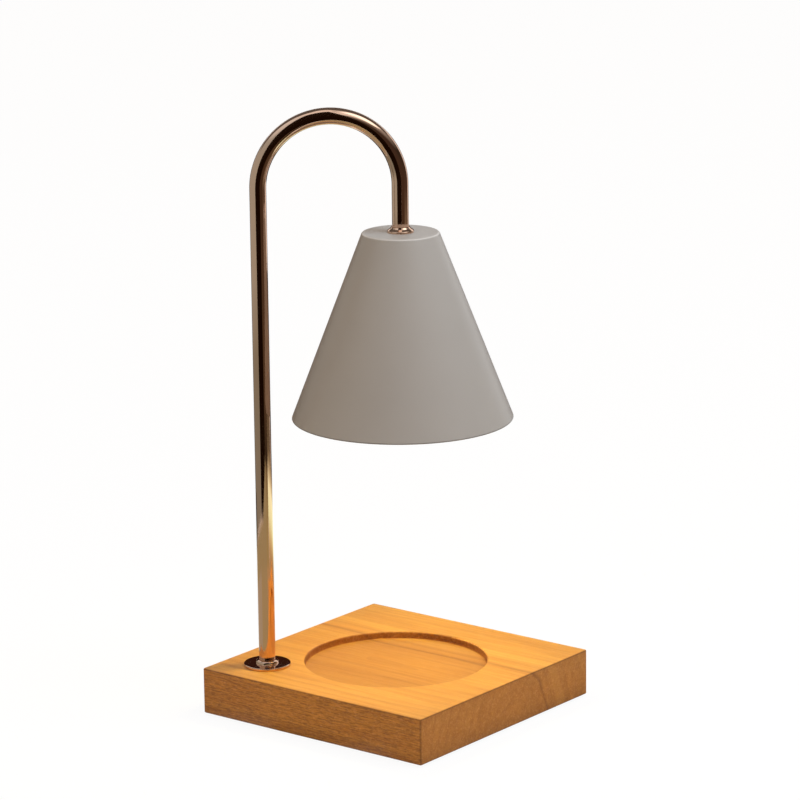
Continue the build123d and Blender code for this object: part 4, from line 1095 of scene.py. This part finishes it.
def makeCard(name, card):
    post, steps, skirtHeight = box("foot_flange")[2], 32, 0.0005
    angles, byReach = card["angles"], card.get("byReach")
    places, rows = [], 3 if "skirt" in card else 2
    for step in range(steps + 1):
        share = step / steps
        corners = [(card["distance"], between(ends(card.get("foot", 0.0)), share), angles),
                   (card["distance"], between(ends(card["top"]), share), card.get("topAngles", angles))]
        if "skirt" in card:
            corners.insert(0, (card["skirt"], skirtHeight, angles))
        for reach, height, span in corners:
            angle = math.radians(between(span, share))
            if byReach:
                # floor light stays clear of the wood's underside
                reach = max(reach, blockReach(post, angle) + 1.0 * mm)
            places.append((post.x + reach * math.cos(angle), post.y + reach * math.sin(angle), height))
    faces = [(rows * i + row, rows * (i + 1) + row, rows * (i + 1) + row + 1, rows * i + row + 1)
             for i in range(steps) for row in range(rows - 1)]
    tree, place, glow = glowingSheet(name, places, faces)
    if len(card["tones"]) == 1:
        color = rgb(*card["tones"][0][1:])
    else:
        level = distanceFrom(tree, place, (post.x, post.y, 0.0)) if byReach else split(tree, place)[2]
        color = ramp(tree, level, card["tones"])
    fill(tree, glow, {"Color": color})


def makeSoftboxFace():
    size = SimpleNamespace(**softboxFace)
    toward, across = heading(size.angle, size.elevation), heading(size.angle + 90)
    upward = toward.cross(across)
    centre = Vector((0.0, 0.0, size.targetHeight)) + toward * size.distance
    places = []
    for corner in range(size.corners):
        turned = math.tau * corner / size.corners
        places.append(centre + across * size.halfWidth * math.cos(turned)
                      + upward * size.halfHeight * math.sin(turned))
    tree, place, glow = glowingSheet("softboxFace", places, [tuple(range(size.corners))])
    reach = distanceFrom(tree, place, centre)
    level = remap(tree, reach, size.core, size.edge, size.bright, size.faint, smooth=True)
    fill(tree, glow, {"Color": size.color, "Strength": level})


def addDiscLight(name, radius, energy, color, place):
    data = bpy.data.lights.new(name, "AREA")
    data.shape, data.size, data.energy, data.color = "DISK", 2 * radius, energy, color
    light = addObject(name, data)
    light.location = place
    light.visible_glossy = False
    return light


def makeLights():
    size = SimpleNamespace(**softbox)
    toward = heading(size.angle, size.elevation)
    energy = size.radiance * math.pi * math.pi * size.radius ** 2
    place = Vector((0.0, 0.0, size.targetHeight)) + toward * size.distance
    light = addDiscLight("softbox", size.radius, energy, size.color, place)
    light.rotation_euler = (-toward).to_track_quat("-Z", "Y").to_euler()
    low, _, middle = box("bulb_reflector")
    place = (middle.x, middle.y, low.z - bulbLight["gap"] * mm)
    glow = addDiscLight("bulbGlow", bulbLight["radius"] * mm, bulbLight["energy"], bulbLight["color"], place)
    glow.visible_camera = glow.visible_transmission = False


def makeCamera():
    view = SimpleNamespace(**cameraView)
    back, level = heading(view.azimuth - 90, view.elevation), heading(view.azimuth)
    upright, roll = back.cross(level), math.radians(view.roll)
    right = level * math.cos(roll) + upright * math.sin(roll)
    up = upright * math.cos(roll) - level * math.sin(roll)
    place = level * view.shiftAcross + upright * view.shiftUp + back * view.distance
    place.z += view.footHeight
    data = bpy.data.cameras.new("camera")
    data.lens, data.clip_start, data.clip_end = view.lens, 0.05, 30.0
    camera = addObject("camera", data)
    camera.matrix_world = Matrix.Translation(place) @ Matrix((right, up, back)).transposed().to_4x4()
    bpy.context.scene.camera = camera


makeWorld()
makeFloor()
for cardName, cardSettings in reflectionCards.items():
    makeCard(cardName, cardSettings)
makeSoftboxFace()
makeLights()
makeCamera()
bpy.context.scene.view_settings.view_transform = "Standard"
print("stage, lights and camera set")
